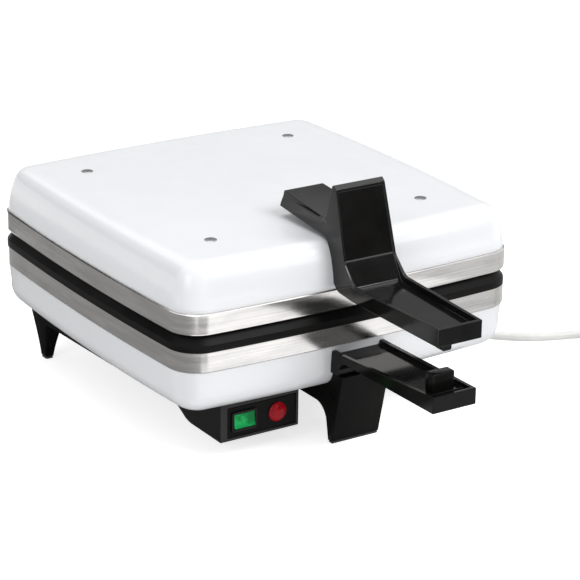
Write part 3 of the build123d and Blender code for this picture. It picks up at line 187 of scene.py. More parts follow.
def mixed(tree, share, first, second, kind="RGBA", blend="MIX"):
    """The first source with a share of the second in it."""
    mix = tree.nodes.new("ShaderNodeMix")
    mix.data_type = kind
    mix.blend_type = blend
    if isinstance(share, float):
        mix.inputs["Factor"].default_value = share
    else:
        tree.links.new(share, mix.inputs["Factor"])
    tree.links.new(first, mix.inputs["A"])
    tree.links.new(second, mix.inputs["B"])
    return mix.outputs["Result"]


def shade(colour, factor):
    """A colour made darker or lighter by a factor."""
    return tuple(min(1.0, channel * factor) for channel in colour)


def follow(tree, shader, source, colour, tones, roughness, wear):
    """Let the colour and the roughness both follow one pattern."""
    toned = tint(tree, source, shade(colour, tones[0]), shade(colour, tones[1]))
    tree.links.new(toned, shader.inputs["Base Color"])
    worn = spread(tree, source, roughness * wear[0], roughness * wear[1])
    tree.links.new(worn, shader.inputs["Roughness"])


def enamel_finish():
    """White stoved enamel: a faint cloudiness and the slight ripple of sprayed paint."""
    finish, tree, shader = start_finish("white_enamel", 0.2)
    base = colours().enamel
    cloud = pattern(tree, 9.0, detail=2.0)
    clouded = tint(tree, cloud, shade(base, 0.985), shade(base, 1.01))
    tree.links.new(clouded, shader.inputs["Base Color"])
    wear = pattern(tree, 60.0, detail=4.0)
    tree.links.new(spread(tree, wear, 0.16, 0.26), shader.inputs["Roughness"])
    ripple = pattern(tree, 420.0, detail=1.5)
    relief(tree, shader, ripple, 0.05, 0.0002)
    shader.inputs["Coat Weight"].default_value = 0.2
    shader.inputs["Coat Roughness"].default_value = 0.06
    return finish


def brushed_finish(name, coat_from, coat_upward):
    """Brushed metal with horizontal strokes, coated dark beyond a height."""
    finish, tree, shader = start_finish(name, 0.3, shine=0.09)
    metal = colours().metal
    coating = colours().coating
    strokes = pattern(tree, 1.0, stretch=(7, 7, 1500), detail=3.0, rough=0.6)
    patches = pattern(tree, 22.0, stretch=(1, 1, 5), detail=4.0)
    light = tint(tree, strokes, shade(metal, 0.88), shade(metal, 1.05), 0.28, 0.72)
    wiped = tint(tree, patches, (0.86, 0.86, 0.86), (1.0, 1.0, 1.0), 0.38, 0.6)
    worn = mixed(tree, 1.0, light, wiped, blend="MULTIPLY")
    cooked = pattern(tree, 26.0, detail=5.0)
    dark = tint(tree, cooked, shade(coating, 0.8), shade(coating, 1.35), 0.35, 0.7)
    coordinates = tree.nodes.new("ShaderNodeTexCoord")
    split = tree.nodes.new("ShaderNodeSeparateXYZ")
    tree.links.new(coordinates.outputs["Object"], split.inputs["Vector"])
    edge = 0.00012
    first, last = (0.0, 1.0) if coat_upward else (1.0, 0.0)
    covered = spread(tree, split.outputs["Z"], first, last, coat_from - edge, coat_from + edge)
    tree.links.new(mixed(tree, covered, worn, dark), shader.inputs["Base Color"])
    tree.links.new(spread(tree, covered, 1.0, 0.0, 0.0, 1.0), shader.inputs["Metallic"])
    bare_rough = spread(tree, patches, 0.15, 0.24)
    coat_rough = spread(tree, cooked, 0.3, 0.48)
    rough = mixed(tree, covered, bare_rough, coat_rough, kind="FLOAT")
    tree.links.new(rough, shader.inputs["Roughness"])
    relief(tree, shader, strokes, 0.12, 0.00006)
    return finish


def moulding_finish(name, roughness, grain, shine):
    """Black moulded plastic with faint swirls of handling and a moulded skin."""
    finish, tree, shader = start_finish(name, roughness, shine=shine)
    swirl = pattern(tree, 35.0, detail=5.0)
    follow(tree, shader, swirl, colours().moulding, (0.8, 1.6), roughness, (0.8, 1.35))
    relief(tree, shader, pattern(tree, grain, detail=2.0), 0.06, 0.00012)
    return finish


def rocker_finish():
    """Clear green plastic with painted lighter patches: a painted glow standing for light gathered
    in it.
    """
    finish, tree, shader = start_finish("rocker_green", 0.2, shine=0.08)
    base = colours().rocker
    # Random lighter patches in the base colour, a painted glow standing for light gathered in the
    # plastic.
    painted_glow = pattern(tree, 150.0, detail=2.0)
    light = tuple(channel * 1.8 + 0.01 for channel in base)
    lit = tint(tree, painted_glow, shade(base, 0.75), light, 0.42, 0.68)
    tree.links.new(lit, shader.inputs["Base Color"])
    return finish


def steel_finish(name, colour, roughness):
    """Plain worked steel with fine random scratches."""
    finish, tree, shader = start_finish(name, roughness, 1.0)
    marks = pattern(tree, 90.0, stretch=(1, 4, 1), detail=6.0)
    follow(tree, shader, marks, colour, (0.82, 1.08), roughness, (0.8, 1.3))
    relief(tree, shader, marks, 0.08, 0.00005)
    return finish


def soft_finish(name, colour, roughness, grain=260.0, coat=0.0, shine=0.5, mottle=(0.93, 1.05)):
    """A plain coloured plastic or rubber with a fine grain."""
    finish, tree, shader = start_finish(name, roughness, shine=shine)
    cloud = pattern(tree, 70.0, detail=4.0)
    follow(tree, shader, cloud, colour, mottle, roughness, (0.85, 1.2))
    relief(tree, shader, pattern(tree, grain, detail=2.0), 0.08, 0.0001)
    shader.inputs["Coat Weight"].default_value = coat
    return finish


FINISHES = {}


def finish_for(key):
    """The finish of that name, made once."""
    makers = {
        "enamel": enamel_finish,
        "lower_plate": lambda: brushed_finish("brushed_lower", LOWER_COAT_FROM, True),
        "upper_plate": lambda: brushed_finish("brushed_upper", UPPER_COAT_BELOW, False),
        "moulding": lambda: moulding_finish("black_moulding", 0.08, 500.0, 0.36),
        "lower_moulding": lambda: moulding_finish("black_lower", 0.11, 500.0, 0.09),
        "feet": lambda: moulding_finish("black_feet", 0.3, 600.0, 0.03),
        "matte": lambda: moulding_finish("matte_black", 0.42, 700.0, 0.3),
        "panel": lambda: moulding_finish("panel_black", 0.34, 650.0, 0.05),
        "coating": lambda: soft_finish("base_coating", (0.02, 0.02, 0.02), 0.45),
        "rubber": lambda: soft_finish("pad_rubber", (0.025, 0.025, 0.025), 0.75),
        "steel": lambda: steel_finish("worked_steel", (0.62, 0.61, 0.60), 0.32),
        "dark_screw": lambda: steel_finish("dark_screw", (0.13, 0.13, 0.135), 0.35),
        "grey_screw": lambda: steel_finish("grey_screw", (0.36, 0.36, 0.365), 0.3),
        "brass": lambda: steel_finish("contact_brass", (0.72, 0.62, 0.40), 0.28),
        "ceramic": lambda: soft_finish("ceramic", (0.80, 0.78, 0.72), 0.5),
        "wire": lambda: soft_finish("wire_insulation", (0.42, 0.10, 0.07), 0.55),
        "rocker": rocker_finish,
        "lens": lambda: soft_finish(
            "lamp_red", colours().lens, 0.16, coat=0.03, shine=0.12, mottle=(0.8, 1.25)),
        "cord": lambda: soft_finish("cord_sheath", colours().cord, 0.42),
    }
    if key not in FINISHES:
        FINISHES[key] = makers[key]()
    return FINISHES[key]


# Making and finishing a piece

def add_object(name, data):
    """A new object in the scene."""
    item = bpy.data.objects.new(name, data)
    bpy.context.scene.collection.objects.link(item)
    return item


def mesh_object(bm, name, finish):
    """A new object in the scene from a bmesh, which is used up."""
    mesh = bpy.data.meshes.new(name)
    bm.to_mesh(mesh)
    bm.free()
    mesh.materials.append(finish)
    return add_object(name, mesh)


def finish_piece(bm, name, body, finish, replaces=(), bevel=0.0, angle=32.0, segments=3):
    """Turn a bmesh into a piece that rides on a body and stands for CAD nodes."""
    bmesh.ops.remove_doubles(bm, verts=bm.verts, dist=1e-7)
    bmesh.ops.recalc_face_normals(bm, faces=bm.faces)
    piece = mesh_object(bm, name, finish_for(finish))
    for face in piece.data.polygons:
        face.use_smooth = True
    if bevel:
        rounder = piece.modifiers.new("edge_rounding", "BEVEL")
        rounder.width = bevel
        rounder.segments = segments
        rounder.limit_method = "ANGLE"
        rounder.angle_limit = radians(angle)
        rounder.harden_normals = True
        rounder.use_clamp_overlap = False
    piece.data.set_sharp_from_angle(angle=radians(angle))
    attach(piece, body)
    if replaces:
        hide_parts(*replaces)
    return piece


def outline_ring(bm, inset, z, side_steps=20, corner_steps=9):
    """A closed loop of edges on the body's outline, set in and at a height."""
    half = sizes().body_half / MM - inset
    bow = sizes().side_bow / MM
    radius = max(sizes().corner_radius / MM - inset, LEAST_CORNER)
    corner = half - bow
    arc = (corner ** 2 + bow ** 2) / (2 * bow)
    back = arc - half
    centre = (-back + sqrt(2 * (arc - radius) ** 2 - back ** 2)) / 2
    turn = atan2(centre, centre + back)
    quarter = [(-turn + 2 * turn * i / side_steps, arc, -back, 0.0) for i in range(side_steps)]
    swing = pi / 2 - 2 * turn
    quarter += [
        (turn + swing * i / corner_steps, radius, centre, centre) for i in range(corner_steps)
    ]
    verts = []
    for side in range(4):
        spin = Matrix.Rotation(side * pi / 2, 3, "Z")
        for angle, reach, x, y in quarter:
            point = spin @ Vector((x + reach * cos(angle), y + reach * sin(angle), 0))
            verts.append(bm.verts.new(place(point.x, point.y, z)))
    return [bm.edges.new((verts[i - 1], verts[i])) for i in range(len(verts))]


def skin(bm, stations, closed=False):
    """Bridge outline loops one after another; cap both ends or close the ring."""
    loops = [outline_ring(bm, inset, z) for inset, z in stations]
    for first, second in zip(loops, loops[1:]):
        bmesh.ops.bridge_loops(bm, edges=first + second)
    if closed:
        bmesh.ops.bridge_loops(bm, edges=loops[-1] + loops[0])
    else:
        bmesh.ops.contextual_create(bm, geom=loops[0])
        bmesh.ops.contextual_create(bm, geom=loops[-1])


def arc_stations(inset, z, radius, start, end, steps):
    """Stations on an arc about a centre, from one angle to another."""
    return [
        (inset + radius * cos(radians(start + (end - start) * i / steps)),
         z + radius * sin(radians(start + (end - start) * i / steps)))
        for i in range(steps + 1)
    ]


def side_face(bm, points, radii, x=-1.0, steps=7):
    """A flat face of (y, z) corners at one x, with its corners rounded in the plane."""
    verts = [bm.verts.new(Vector((x, y, z))) for y, z in points]
    face = bm.faces.new(verts)
    count = len(points)
    for index, (vert, radius) in enumerate(zip(verts, radii)):
        if not radius:
            continue
        here = Vector(points[index])
        before = (Vector(points[index - 1]) - here).normalized()
        after = (Vector(points[(index + 1) % count]) - here).normalized()
        turn = pi - before.angle(after)
        bmesh.ops.bevel(
            bm, geom=[vert], offset=radius * tan(turn / 2), offset_type="OFFSET",
            segments=steps, profile=0.5, affect="VERTICES", material=-1)
    return bm.faces[:]


def across(bm, faces, width):
    """Extrude a flat face across X."""
    made = bmesh.ops.extrude_face_region(bm, geom=faces)
    moved = [item for item in made["geom"] if isinstance(item, bmesh.types.BMVert)]
    bmesh.ops.translate(bm, verts=moved, vec=(width, 0, 0))
    bmesh.ops.recalc_face_normals(bm, faces=bm.faces)


def sink(bm, faces, drop):
    """Push some faces in, with walls around them; drop gives the step at each place."""
    made = bmesh.ops.extrude_face_region(bm, geom=faces)
    for item in made["geom"]:
        if isinstance(item, bmesh.types.BMVert):
            item.co += drop(item.co)
    bmesh.ops.delete(bm, geom=[face for face in faces if face.is_valid], context="FACES")


def faces_that(bm, chosen):
    """The faces whose middle and normal pass a test."""
    return [face for face in bm.faces if chosen(face.calc_center_median(), face.normal)]


def round_edges(bm, verts, radius, chosen, segments=4):
    """Round those edges at some corners whose two ends pass a test."""
    edges = {
        edge for vert in verts for edge in vert.link_edges
        if chosen(edge.verts[0].co, edge.verts[1].co)
    }
    bmesh.ops.bevel(
        bm, geom=list(edges), offset=radius, offset_type="OFFSET", segments=segments,
        profile=0.5, affect="EDGES", material=-1)


def cut(bm, faces, point, normal):
    """Divide some faces along a plane."""
    geometry = set(faces)
    for face in faces:
        geometry.update(face.edges)
        geometry.update(face.verts)
    bmesh.ops.bisect_plane(bm, geom=list(geometry), plane_co=point, plane_no=normal, dist=1e-5)
    bm.normal_update()


def seat(bm):
    """Move a piece modelled in millimetres about the plates' centre to its place."""
    for vert in bm.verts:
        vert.co = place(*vert.co)


def block(bm, low, high):
    """A box from its lowest to its highest corner, in millimetres."""
    size = [b - a for a, b in zip(low, high)]
    middle = [(a + b) / 2 for a, b in zip(low, high)]
    made = bmesh.ops.create_cube(bm, size=1.0)
    bmesh.ops.scale(bm, verts=made["verts"], vec=size)
    bmesh.ops.translate(bm, verts=made["verts"], vec=middle)
    return made["verts"]


def turned(bm, profile, matrix=Matrix(), steps=40):
    """Spin a line of (radius, height) points, ends on the axis, about Z; then move it."""
    part = bmesh.new()
    verts = [part.verts.new((radius, 0, height)) for radius, height in profile]
    edges = [part.edges.new(pair) for pair in zip(verts, verts[1:])]
    bmesh.ops.spin(
        part, geom=verts + edges, cent=(0, 0, 0), axis=(0, 0, 1), angle=2 * pi,
        steps=steps, use_merge=True)
    bmesh.ops.remove_doubles(part, verts=part.verts, dist=1e-5)
    bmesh.ops.transform(part, matrix=matrix, verts=part.verts)
    bmesh.ops.recalc_face_normals(part, faces=part.faces)
    mesh = bpy.data.meshes.new("turned_part")
    part.to_mesh(mesh)
    part.free()
    bm.from_mesh(mesh)
    bpy.data.meshes.remove(mesh)


# Cover, housing and plates

COVER_OUTER = [
    (1.25, 123.9), (1.5, 127.0), (2.0, 131.0), (2.65, 134.8), (3.4, 138.3), (4.2, 141.6),
    (5.15, 145.0), (6.3, 148.3), (7.8, 151.3), (9.7, 153.7), (12.0, 155.4), (14.8, 156.4),
    (18.0, 156.9), (22.0, COVER_TOP),
]
COVER_WALL = 1.0


def make_cover():
    bm = bmesh.new()
    inner = [
        (max(inset, 2.0) + COVER_WALL, z - COVER_WALL) for inset, z in reversed(COVER_OUTER)
    ]
    skin(bm, inner + [(2.4, 123.4), (1.6, 123.4)] + COVER_OUTER)
    finish_piece(bm, "cover_shell", "lid", "enamel", ["lid_cover"], angle=50)


def make_housing():
    bm = bmesh.new()
    draft = radians(5.0)
    radius = 18.0
    underside = 43.5
    inward = 0.93
    centre_z = underside + radius
    reach = 0.6 + (78.8 - centre_z) * tan(draft) + radius * (1 / cos(draft))
    outer = [(0.75, 78.7), (0.9, 78.2), (1.6, 72.0), (2.2, 66.5)]
    curve = arc_stations(reach, centre_z, radius, 186.5, 270.0, 9)
    outer += curve + [(34.0, underside)]
    inner = [(34.0, underside + 1.2)] + [
        (reach + (inset - reach) * inward, centre_z + (z - centre_z) * inward)
        for inset, z in reversed(curve)
    ] + [(3.0, 70.0), (2.0, 78.7)]
    skin(bm, outer + inner, closed=True)
    finish_piece(
        bm, "housing_shell", "base", "enamel", ["lower_housing"], angle=50)


RIBS_EACH_SIDE = 11
RIB_PITCH = 11.0
RIB_HALF_WIDTH = 2.25
RIB_HALF_LENGTH = 123.0


def make_ribs(name, body, finish, low, high):
    """Parallel ribs from front to rear."""
    bm = bmesh.new()
    for number in range(-RIBS_EACH_SIDE, RIBS_EACH_SIDE + 1):
        x = number * RIB_PITCH
        block(
            bm, (x - RIB_HALF_WIDTH, -RIB_HALF_LENGTH, low),
            (x + RIB_HALF_WIDTH, RIB_HALF_LENGTH, high))
    seat(bm)
    finish_piece(bm, name, body, finish, bevel=0.0009, segments=2)


def make_plates():
    bm = bmesh.new()
    skin(bm, [
        (30.0, 92.8), (7.0, 92.8), (6.0, 91.8), (6.0, 78.9), (0.8, 78.85), (0.0, 79.6),
        (0.0, 94.1), (0.0, 98.4), (0.25, 99.5), (5.4, 106.3), (6.4, 106.8), (12.4, 106.8),
        (13.2, 106.2), (14.2, 101.4), (15.0, 100.8), (30.0, 100.8),
    ])
    finish_piece(
        bm, "lower_plate_casting", "base", "lower_plate",
        ["lower_cooking_plate"], angle=24)
    make_ribs("lower_plate_ribs", "base", "lower_plate", 100.4, 103.3)
    bm = bmesh.new()
    skin(bm, [
        (30.0, 119.1), (7.0, 119.1), (6.0, 120.0), (6.0, 123.3), (0.8, 123.35), (0.0, 122.7),
        (0.0, 108.6), (0.3, 107.9), (1.2, 107.1), (12.4, 107.1), (13.2, 107.6),
        (14.0, 110.5), (15.0, 111.1), (30.0, 111.1),
    ])
    finish_piece(
        bm, "upper_plate_casting", "lid", "upper_plate",
        ["upper_cooking_plate"], angle=24)
    make_ribs("upper_plate_ribs", "lid", "coating", 108.6, 111.5)


# Handles

GUARD_FOOT = (-173.5, 133.1)
GUARD_CREASE = (-161.5, 146.5)
GUARD_TOP = (-146.0, 201.0)
LEVER_END = -271.5
LEVER_ROOT_HALF = 23.9
LEVER_NARROWS = 5.0
CREASE_HALF = 22.8
GUARD_NARROWS = 1.6
FOOT_WIDENS = 4.5
REAR_HALF = 22.6
TONGUE_HALF = 21.0
TONGUE_NARROWS = 3.8
LOWER_HANDLE_END = -268.3


def smooth_step(value):
    """0 to 1 with soft ends."""
    value = max(0.0, min(1.0, value))
    return value * value * (3 - 2 * value)


def guard_front(z):
    """Where the guard's front face stands at a height."""
    low, high = (GUARD_CREASE, GUARD_TOP) if z > GUARD_CREASE[1] else (GUARD_FOOT, GUARD_CREASE)
    return low[0] + (z - low[1]) / (high[1] - low[1]) * (high[0] - low[0])


def upper_half_width(y, z):
    """Half of the upper handle's width at a place on its side."""
    if y < GUARD_FOOT[0]:
        out = (GUARD_FOOT[0] - y) / (GUARD_FOOT[0] - LEVER_END)
        width = LEVER_ROOT_HALF - out * LEVER_NARROWS
    else:
        low = max(z, GUARD_FOOT[1])
        rise = (low - GUARD_CREASE[1]) / (GUARD_TOP[1] - GUARD_CREASE[1])
        width = CREASE_HALF - (GUARD_NARROWS if rise > 0 else FOOT_WIDENS) * rise
        width += (REAR_HALF - width) * min(1.0, max(0.0, y - guard_front(low)) * 0.1)
    tongue = TONGUE_HALF - TONGUE_NARROWS * smooth_step((z - 163.5) / 12.5)
    share = smooth_step((y + 137.0) / 9.0) if z > 158 else 0.0
    return width + (tongue - width) * share


def tray_drop(spot):
    """How far the tray lies below the rim: shallow on the guard, deeper on the lever."""
    share = smooth_step((GUARD_CREASE[0] - spot.y) / (GUARD_CREASE[0] - GUARD_FOOT[0]))
    return Vector((0, 1.1, -share * sizes().tray_depth / MM))


def sink_tray(bm, chosen, rim, drop):
    """Push a field of faces in, leaving a rim; chosen tells which faces it takes."""
    for side in (-1, 1):
        cut(bm, faces_that(bm, chosen), (side * (1 - rim), 0, 0), (1, 0, 0))
    field = [
        face for face in faces_that(bm, chosen) if abs(face.calc_center_median().x) < 1 - rim
    ]
    sink(bm, field, drop)


def make_upper_handle():
    bm = bmesh.new()
    points = [
        (-72.5, 164.7), (-72.5, 176.1), (-135.8, 170.6), (-142.2, 199.3), (-143.2, 200.6),
        (-146.85, 198.0), GUARD_CREASE, GUARD_FOOT, (LEVER_END, 132.5), (LEVER_END, 119.0),
        (-154.0, 122.5), (-147.6, 128.0), (-142.5, 150.0), (-138.0, 158.4),
    ]
    radii = [0, 0, 5.0, 0, 0, 0, 7.0, 8.0, 0, 0, 6.0, 0, 0, 0]
    across(bm, side_face(bm, points, radii), 2.0)
    for y in (GUARD_FOOT[0], -137.0, -128.0):
        cut(bm, bm.faces[:], (0, y, 0), (0, 1, 0))
    for z in (158.0, 163.5, 167.5, 172.0):
        cut(bm, bm.faces[:], (0, 0, z), (0, 0, 1))
    end = LEVER_END + 2.8
    top = 195.8
    facing = Vector((0, -0.72, 0.69))

    def on_front(centre, normal):
        return normal.dot(facing) > 0.35 and centre.y < -146.5 and centre.z > 131.0

    def in_tray(centre, normal):
        return on_front(centre, normal) and end < centre.y and centre.z < top

    for point, normal in (((0, end, 0), (0, 1, 0)), ((0, 0, top), (0, 0, 1))):
        cut(bm, faces_that(bm, on_front), point, normal)
    sink_tray(bm, in_tray, 0.25, tray_drop)
    for vert in bm.verts:
        if 0.7 < abs(vert.co.x) < 0.8:
            on_lever = smooth_step((GUARD_CREASE[0] - vert.co.y) / 16.0)
            vert.co.x *= (0.925 - 0.065 * on_lever) / 0.75
        vert.co.x *= upper_half_width(vert.co.y, vert.co.z)
    lug = block(bm, (-14.5, LEVER_END + 0.2, 115.3), (-6.5, LEVER_END + 9.0, 121.0))
    round_edges(bm, lug, 1.6, lambda a, b: max(a.z, b.z) < 116 and a.x == b.x)
    seat(bm)
    finish_piece(
        bm, "upper_handle_moulding", "lid", "moulding", ["upper_handle"],
        bevel=sizes().edge_round, angle=35)


def make_lower_handle():
    bm = bmesh.new()
    root = -157.0
    points = [
        (-141.0, 75.5), (-155.0, 75.5), (LOWER_HANDLE_END, 80.5), (LOWER_HANDLE_END, 68.1),
        (root, 69.9), (root, 58.0), (-141.0, 58.0),
    ]
    across(bm, side_face(bm, points, [0, 0, 0, 0, 10.0, 0, 0]), 2.0)
    cut(bm, bm.faces[:], (0, root, 0), (0, 1, 0))
    end = LOWER_HANDLE_END + 3.5
    near = -143.0

    def on_top(centre, normal):
        return normal.z > 0.9 and centre.z > 74

    def in_tray(centre, normal):
        return on_top(centre, normal) and end < centre.y < near

    for y in (end, near):
        cut(bm, faces_that(bm, on_top), (0, y, 0), (0, 1, 0))
    sink_tray(bm, in_tray, 0.17, lambda spot: Vector((0, 0, -3.2)))
    for vert in bm.verts:
        share = max(0.0, (root - vert.co.y) / (root - LOWER_HANDLE_END))
        vert.co.x *= 23.1 - 4.5 * share
    catch = block(bm, (-9.8, -254.8, 76.0), (9.8, -245.4, 91.0))
    round_edges(bm, catch, 1.7, lambda a, b: max(a.z, b.z) > 90)
    for y in (-262.5, -259.5):
        block(bm, (-13.5, y - 0.5, 76.0), (13.5, y + 0.5, 78.9))
    seat(bm)
    finish_piece(
        bm, "lower_handle_moulding", "base", "lower_moulding", ["lower_handle"],
        bevel=sizes().edge_round, angle=35)


# Feet and base plate

REAR_FOOT_X = 121.0
REAR_FOOT_Y = 113.0
REAR_FOOT_TOP = 39.8
PAD_TOP = 1.5


def make_front_foot():
    bm = bmesh.new()
    points = [
        (-160.5, 57.8), (-147.5, PAD_TOP), (-142.5, PAD_TOP), (-137.5, 28.0), (-100.0, 28.0),
        (-100.0, 39.8), (-118.2, 39.8), (-118.2, 43.3), (-129.0, 43.4), (-135.0, 44.2),
        (-140.0, 46.6), (-144.0, 50.3), (-146.3, 54.2), (-147.4, 57.8),
    ]
    across(bm, side_face(bm, points, [0, 0, 0, 14.0, 3.0] + [0] * 9, x=-21.2), 42.4)
    seat(bm)
    finish_piece(
        bm, "front_foot_moulding", "base", "feet", ["front_foot"],
        bevel=0.0009, angle=35)


def make_rear_foot(name, side):
    """A tapered foot with its rib, on one side of the base."""
    bm = bmesh.new()
    rib = [
        (109.5, REAR_FOOT_TOP), (109.5, 31.5), (102.5, 31.5), (96.0, 34.2), (-9.9, 37.6),
        (-9.9, REAR_FOOT_TOP),
    ]
    across(bm, side_face(bm, rib, [0, 0, 0, 8.0, 0, 0], x=side * 127.0 - 2.9), 5.8)
    foot = block(bm, (-9.0, -14.5, PAD_TOP), (9.0, 14.5, REAR_FOOT_TOP))
    round_edges(bm, foot, 3.6, lambda a, b: abs(a.z - b.z) > 1, segments=5)

    def of_block(vert):
        return abs(vert.co.x) < 20

    upright = [
        edge for edge in bm.edges if of_block(edge.verts[0])
        and abs(edge.verts[0].co.z - edge.verts[1].co.z) > 1
    ]
    bmesh.ops.subdivide_edges(bm, edges=upright, cuts=9, use_grid_fill=True)
    for vert in filter(of_block, bm.verts):
        rise = ((vert.co.z - PAD_TOP) / (REAR_FOOT_TOP - PAD_TOP)) ** 1.2
        vert.co.x = vert.co.x * (0.39 + 0.61 * rise) + side * REAR_FOOT_X
        vert.co.y = vert.co.y * (0.31 + 0.69 * rise) - 3.5 * rise + REAR_FOOT_Y
    seat(bm)
    finish_piece(
        bm, f"rear_foot_{name}", "base", "feet",
        [f"rear_{name}_foot"], bevel=0.0008, angle=45)


def make_base_plate():
    bm = bmesh.new()
    skin(bm, [
        (30.0, 40.0), (21.0, 40.0), (20.3, 40.3), (20.0, 41.0), (20.0, 42.6), (20.5, 43.4),
        (30.0, 43.4),
    ])
    made = bmesh.ops.bisect_plane(
        bm, geom=bm.verts[:] + bm.edges[:] + bm.faces[:], plane_co=place(0, -118, 0),
        plane_no=(0, -1, 0), clear_outer=True)
    bmesh.ops.contextual_create(
        bm, geom=[item for item in made["geom_cut"] if isinstance(item, bmesh.types.BMEdge)])
    finish_piece(
        bm, "base_cover_plate", "base", "coating", ["base_plate"], angle=40)


# Control box, switch and lamp

BOX_FRONT = -131.0
BOX_LEFT = -107.2
BOX_WIDTH = 67.4
PANEL_LEFT = -101.0
PANEL_RIGHT = -42.0
PANEL_LOW = 16.3
PANEL_HIGH = 40.0
SWITCH_MIDDLE = Vector((-87.5, BOX_FRONT, 28.6))
LAMP_MIDDLE = Vector((-58.4, -130.7, 28.7))


def sink_field(bm, front, low, high, drop):
    """Cut a field between two corners out of a front face and push it in."""
    for corner in (low, high):
        for normal in ((1, 0, 0), (0, 0, 1)):
            cut(bm, faces_that(bm, front), (corner[0], 0, corner[1]), normal)

    def inside(centre, normal):
        return (
            front(centre, normal) and low[0] < centre.x < high[0] and low[1] < centre.z < high[1]
        )

    sink(bm, faces_that(bm, inside), lambda spot: Vector((0, drop, 0)))


def make_control_box():
    bm = bmesh.new()
    points = [
        (BOX_FRONT, 43.4), (BOX_FRONT, 14.0), (-84.0, 14.0), (-32.0, 39.8), (-118.2, 39.8),
        (-118.2, 43.4),
    ]
    across(bm, side_face(bm, points, [0, 0, 22.0, 0, 0, 0], x=BOX_LEFT), BOX_WIDTH)

    def front(centre, normal):
        return normal.y < -0.9 and centre.y < -130

    sink_field(bm, front, (PANEL_LEFT, PANEL_LOW), (PANEL_RIGHT, PANEL_HIGH), 3.0)
    seat(bm)
    finish_piece(
        bm, "control_box_case", "base", "matte", ["control_box"],
        bevel=0.0006, angle=35)
    bm = bmesh.new()
    gap = 0.3
    block(
        bm, (PANEL_LEFT + gap, BOX_FRONT + gap, PANEL_LOW + gap),
        (PANEL_RIGHT - gap, -128.4, PANEL_HIGH - gap))
    seat(bm)
    finish_piece(
        bm, "control_front_plate", "base", "panel", ["control_panel"],
        bevel=sizes().edge_round, angle=35)


def make_switch():
    bm = bmesh.new()
    block(bm, (-10.5, -1.55, -7.5), (10.5, 0.35, 7.5))
    sink_field(bm, lambda centre, normal: normal.y < -0.9, (-9.1, -6.2), (9.1, 6.2), 1.6)
    bmesh.ops.translate(bm, verts=bm.verts, vec=SWITCH_MIDDLE)
    seat(bm)
    finish_piece(bm, "switch_bezel", "base", "panel", bevel=0.0004, angle=35)
    bm = bmesh.new()
    reach = 4.4
    half = 5.5
    half_length = 8.75
    dish = [(-reach + 0.9 * (1 - (i / 5) ** 2), half * i / 5) for i in range(-5, 6)]
    points = dish + [(1.0, half - 0.4), (2.4, 0.0), (1.0, -half + 0.4)]
    verts = [bm.verts.new((-half_length, y, z)) for y, z in points]
    across(bm, [bm.faces.new(verts)], 2 * half_length)
    tipped = Matrix.Rotation(radians(-7), 4, "X")
    spot = Matrix.Translation(SWITCH_MIDDLE + Vector((0, 2.0, 0)))
    bmesh.ops.transform(bm, matrix=spot @ tipped, verts=bm.verts)
    seat(bm)
    finish_piece(
        bm, "rocker_cap", "switch_rocker", "rocker", ["rocker"],
        bevel=sizes().edge_round, angle=35)


def make_lamp():
    radius = sizes().lamp_radius / MM
    bm = bmesh.new()
    turned(bm, [
        (0, 0), (radius - 0.3, 0), (radius, 0.3), (radius, 0.9), (radius - 0.5, 1.4),
        (radius * 0.86, 2.3), (radius * 0.66, 3.2), (radius * 0.42, 3.9), (radius * 0.2, 4.2),
        (0, 4.3),
    ], Matrix.Translation(LAMP_MIDDLE) @ Matrix.Rotation(pi / 2, 4, "X"))
    seat(bm)
    finish_piece(bm, "lamp_lens", "base", "lens", ["pilot_lens"], angle=40)


# Screws

def screw_head(bm, radius, height, matrix):
    """A low domed head."""
    turned(bm, [
        (0, -0.4), (radius, -0.4), (radius, height * 0.35), (radius * 0.93, height * 0.62),
        (radius * 0.72, height * 0.86), (radius * 0.4, height * 0.97), (0, height),
    ], matrix, steps=28)


def make_cover_screws():
    bm = bmesh.new()
    out = SCREW_SPACING / 2
    for x in (-out, out):
        for y in (-out, out):
            screw_head(bm, 4.6, 0.75, Matrix.Translation((x, y, COVER_TOP)))
    seat(bm)
    finish_piece(
        bm, "cover_screw_heads", "lid", "grey_screw", ["lid_cover_screws"],
        angle=40)


# Cord and plug

CORD_EXIT = (111, 179.6, 62)
ROUTE = [
    (111, 203.6, 62), (110, 236, 50), (122, 259, 31), (146, 269, 13), (172, 261, 3.4),
    (190, 236, 3.4), (189, 196, 3.4), (181, 152, 3.4), (171, 110, 3.4), (165, 70, 3.4),
    (168, 30, 3.4), (183, -8, 3.4), (208, -40.2, 3.4), (239.3, -65.1, 3.4),
]
COIL_RUN = 72.6  # from the route's last point to the coil
COIL_HEADING = -16.5
COIL_OUTER = 41.5
COIL_PITCH = 7.3
COIL_TURNS_IN = 1.375
COIL_TURNS = 3.25
COIL_SPREAD = 1.008
POINTS_EACH_TURN = 14


def heading(angle):
    """A level direction from its angle in degrees."""
    return Vector((cos(radians(angle)), sin(radians(angle)), 0))


def coil_point(turn):
    """A point of the put-away coil after a number of turns."""
    lead = degrees(atan2(COIL_PITCH, 2 * pi * COIL_OUTER))
    first = Vector(ROUTE[-1]) + heading(COIL_HEADING) * COIL_RUN
    centre = first - heading(COIL_HEADING + 90 + lead) * COIL_OUTER
    climb = turn - COIL_TURNS_IN
    inner = COIL_OUTER - COIL_PITCH * COIL_TURNS_IN
    if climb <= 0:
        radius, rise = COIL_OUTER - COIL_PITCH * turn, 0.0
    elif climb < 0.5:
        part = climb / 0.5
        radius = inner - COIL_PITCH / 2 * part * (1 - part)
        rise = COIL_PITCH * smooth_step(part)
    else:
        radius, rise = inner + COIL_PITCH * (climb - 0.5), COIL_PITCH
    angle = COIL_HEADING + 90 + lead - 360 * turn
    return centre + heading(angle) * radius * COIL_SPREAD + Vector((0, 0, rise))


def coil_way(turn):
    """The direction in which the coil runs after a number of turns."""
    return (coil_point(turn + 1e-4) - coil_point(turn - 1e-4)).normalized()


